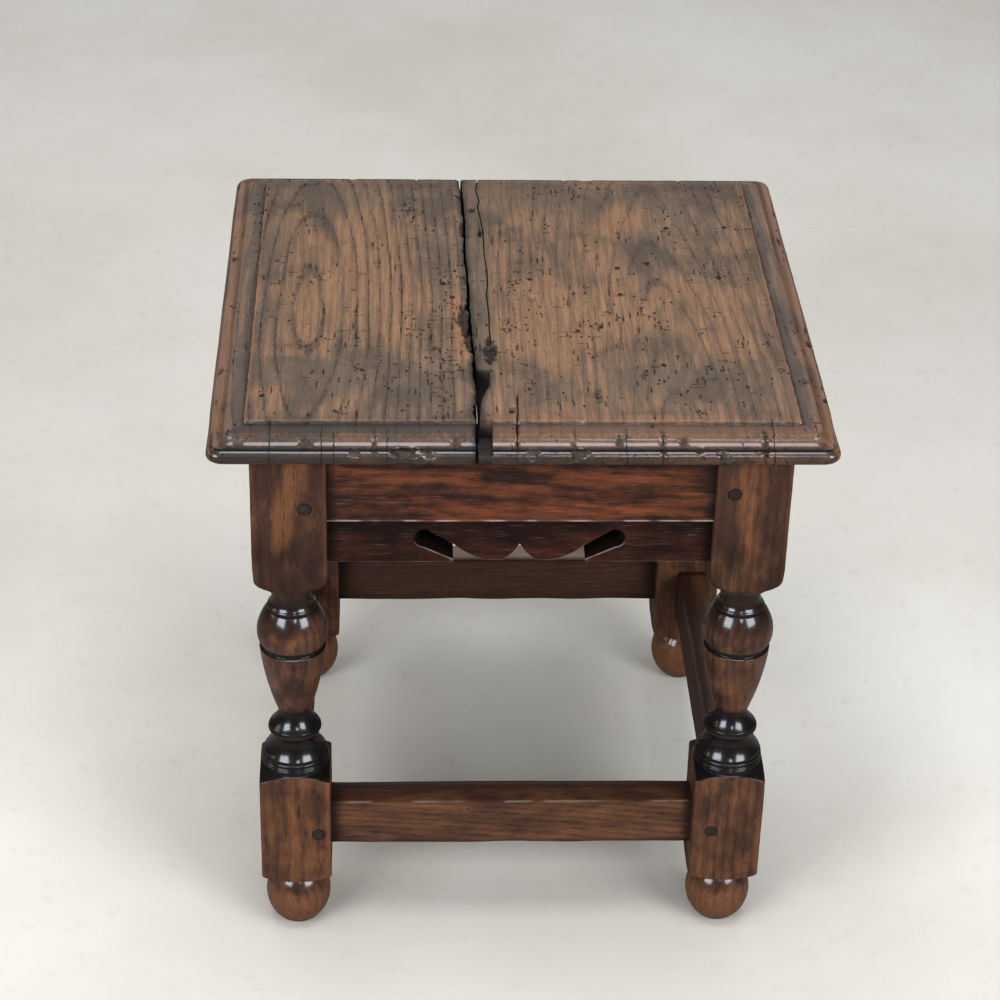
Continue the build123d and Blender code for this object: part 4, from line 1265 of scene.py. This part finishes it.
        # warm where it is rubbed, grey where it isn't
        rubbed_and_bounce = spread(flat, WARM_AREAS) - spread(flat, GREY_AREAS) + 0.8 * front_strip * blotch
        rubbed_and_bounce += 0.8 * torn + 0.6 * warm_channel - 0.3 * (1 - warm_channel) * in_channel * at_front
        rubbed_and_bounce += 0.15 * crest - 0.5 * ramp(border, 6, 3) * at_front
        rubbed_and_bounce += np.where(at_front, 0, 0.12 * ramp(border, 18, 14) - 0.6 * strip)
        return {
            "dirt_and_shade": np.clip(dirt_and_shade, 0, 1),
            "wear_and_sheen": np.clip(wear_and_sheen, 0, 1),
            "polish": np.clip(polish, 0, 1),
            "rubbed_and_bounce": rubbed_and_bounce,
            "pitted": spread(flat, PITTED_AREAS) + 0.3 * ramp(border, 10, 5),
            "figure": (1.0 if side < 0 else 0.5) * ramp(border, 8, 14),
            "ends": 0.40 * ramp(HALF_SEAT - abs(y) + 7 * lumps(flat, (7, 60, 60), seed + 15), 32, 6),
        }

    make_piece(name, [name], sheets, move, grain, marks, SEAT_OAK)


make_board("top_board_left", -1, 51)
make_board("top_board_right", 1, 71)

# ------------------------------------------------------------------ floor, lights and camera
FLOOR_REACH = 9.0
MIRRORED_SHARE = 0.85


def floor_finish():
    paint = Paint(bpy.data.materials.new("pale_floor"))
    place = paint.node("ShaderNodeTexCoord", {}, {}, "Object")
    cloud = paint.noise(place, (1.3, 1.3, 1.3), 5.0, 0.6)
    grit = paint.noise(place, (60, 60, 60), 4.0, 0.7)
    tone = paint.mix(cloud.ramp(0.35, 0.7), colour(216, 209, 198), colour(200, 192, 180))
    tone = paint.mix(grit.ramp(0.55, 0.75) * 0.25, tone, colour(176, 168, 156))
    # the waxed wood reflects a darker room than the pale floor
    tone = paint.mix(paint.glossy_ray() * MIRRORED_SHARE, tone, colour(70, 64, 58))
    return paint.surface(tone, 0.85, grit, 0.3, 0.3)


floor_mesh = bpy.data.meshes.new("floor")
floor_corners = [(x * FLOOR_REACH, y * FLOOR_REACH, 0) for x, y in ((-1, -1), (1, -1), (1, 1), (-1, 1))]
floor_mesh.from_pydata(floor_corners, [], [(0, 1, 2, 3)])
floor_mesh.materials.append(floor_finish())
floor = bpy.data.objects.new("floor", floor_mesh)
bpy.context.collection.objects.link(floor)

CAMERA_PLACE = np.array([-79.68, -1601.22, 1231.75])
CAMERA_PITCH = math.radians(31.515)
CAMERA_YAW = math.radians(2.645)
CAMERA_ROLL = math.radians(1.410)
FOCAL_PIXELS = 2686.34
IMAGE_PIXELS = 1000
SENSOR = 36.0
FARTHEST = 100.0


def make_camera():
    data = bpy.data.cameras.new("camera")
    data.sensor_width = SENSOR
    data.lens = FOCAL_PIXELS / IMAGE_PIXELS * SENSOR
    data.clip_end = FARTHEST
    forward = Vector((
        math.sin(CAMERA_YAW) * math.cos(CAMERA_PITCH),
        math.cos(CAMERA_YAW) * math.cos(CAMERA_PITCH),
        -math.sin(CAMERA_PITCH),
    ))
    level = Vector((math.cos(CAMERA_YAW), -math.sin(CAMERA_YAW), 0))
    up = level.cross(forward)
    right = level * math.cos(CAMERA_ROLL) + up * math.sin(CAMERA_ROLL)
    up = -level * math.sin(CAMERA_ROLL) + up * math.cos(CAMERA_ROLL)
    camera = bpy.data.objects.new("camera", data)
    turn = Matrix((right, up, -forward)).transposed().to_4x4()
    camera.matrix_world = Matrix.Translation(Vector(CAMERA_PLACE * MM)) @ turn
    bpy.context.collection.objects.link(camera)
    bpy.context.scene.camera = camera


LAMPS_AIM = Vector((0.0, 0.0, 0.25))
DAYLIGHT, WARM_LIGHT, PLAIN_LIGHT = (0.88, 0.94, 1.0), (1.0, 0.9, 0.7), (1.0, 1.0, 1.0)
# Azimuth from the front and elevation in degrees, distance, width and height in metres, how bright
# each lamp is, and its tint.
LAMPS = {
    "window_left": (-42, 25, 2.6, 1.2, 0.9, 12.5, DAYLIGHT),
    "window_right": (42, 25, 2.6, 1.2, 0.9, 12.5, DAYLIGHT),
    "glint": (8.6, 33, 2.6, 0.3, 0.3, 18.0, DAYLIGHT),
    "side_glow": (-85, 24, 2.6, 0.8, 0.8, 2.2, WARM_LIGHT),
    "roof_light": (0, 82, 2.5, 1.5, 1.6, 7.0, DAYLIGHT),
    "pale_wall": (180, 31, 3.0, 3.0, 1.5, 0.55, PLAIN_LIGHT),
}


def make_lamp(name, azimuth, elevation, distance, wide, high, radiance, tint):
    """A window of soft light, which faces the stool."""
    data = bpy.data.lights.new(name, "AREA")
    data.shape = "RECTANGLE"
    data.size, data.size_y = wide, high
    data.energy = radiance * math.pi * wide * high
    data.color = tint
    lamp = bpy.data.objects.new(name, data)
    turn, rise = math.radians(azimuth), math.radians(elevation)
    way = Vector((math.sin(turn) * math.cos(rise), -math.cos(turn) * math.cos(rise), math.sin(rise)))
    lamp.location = LAMPS_AIM + way * distance
    lamp.rotation_euler = way.to_track_quat("Z", "Y").to_euler()
    bpy.context.collection.objects.link(lamp)


def soft_daylight():
    """Even light from all round, which the waxed wood reflects more darkly."""
    paint = Paint(bpy.data.worlds.new("soft_daylight"))
    tint = paint.mix(paint.glossy_ray(), (0.9, 0.94, 1.0, 1.0), (0.16, 0.18, 0.2, 1.0))
    light = paint.node("ShaderNodeBackground", {}, {"Color": tint, "Strength": 0.32})
    paint.node("ShaderNodeOutputWorld", {}, {"Surface": light})
    return paint.owner


make_camera()
for lamp_name, lamp_sizes in LAMPS.items():
    make_lamp(lamp_name, *lamp_sizes)
bpy.context.scene.world = soft_daylight()
bpy.context.scene.view_settings.view_transform = "Standard"
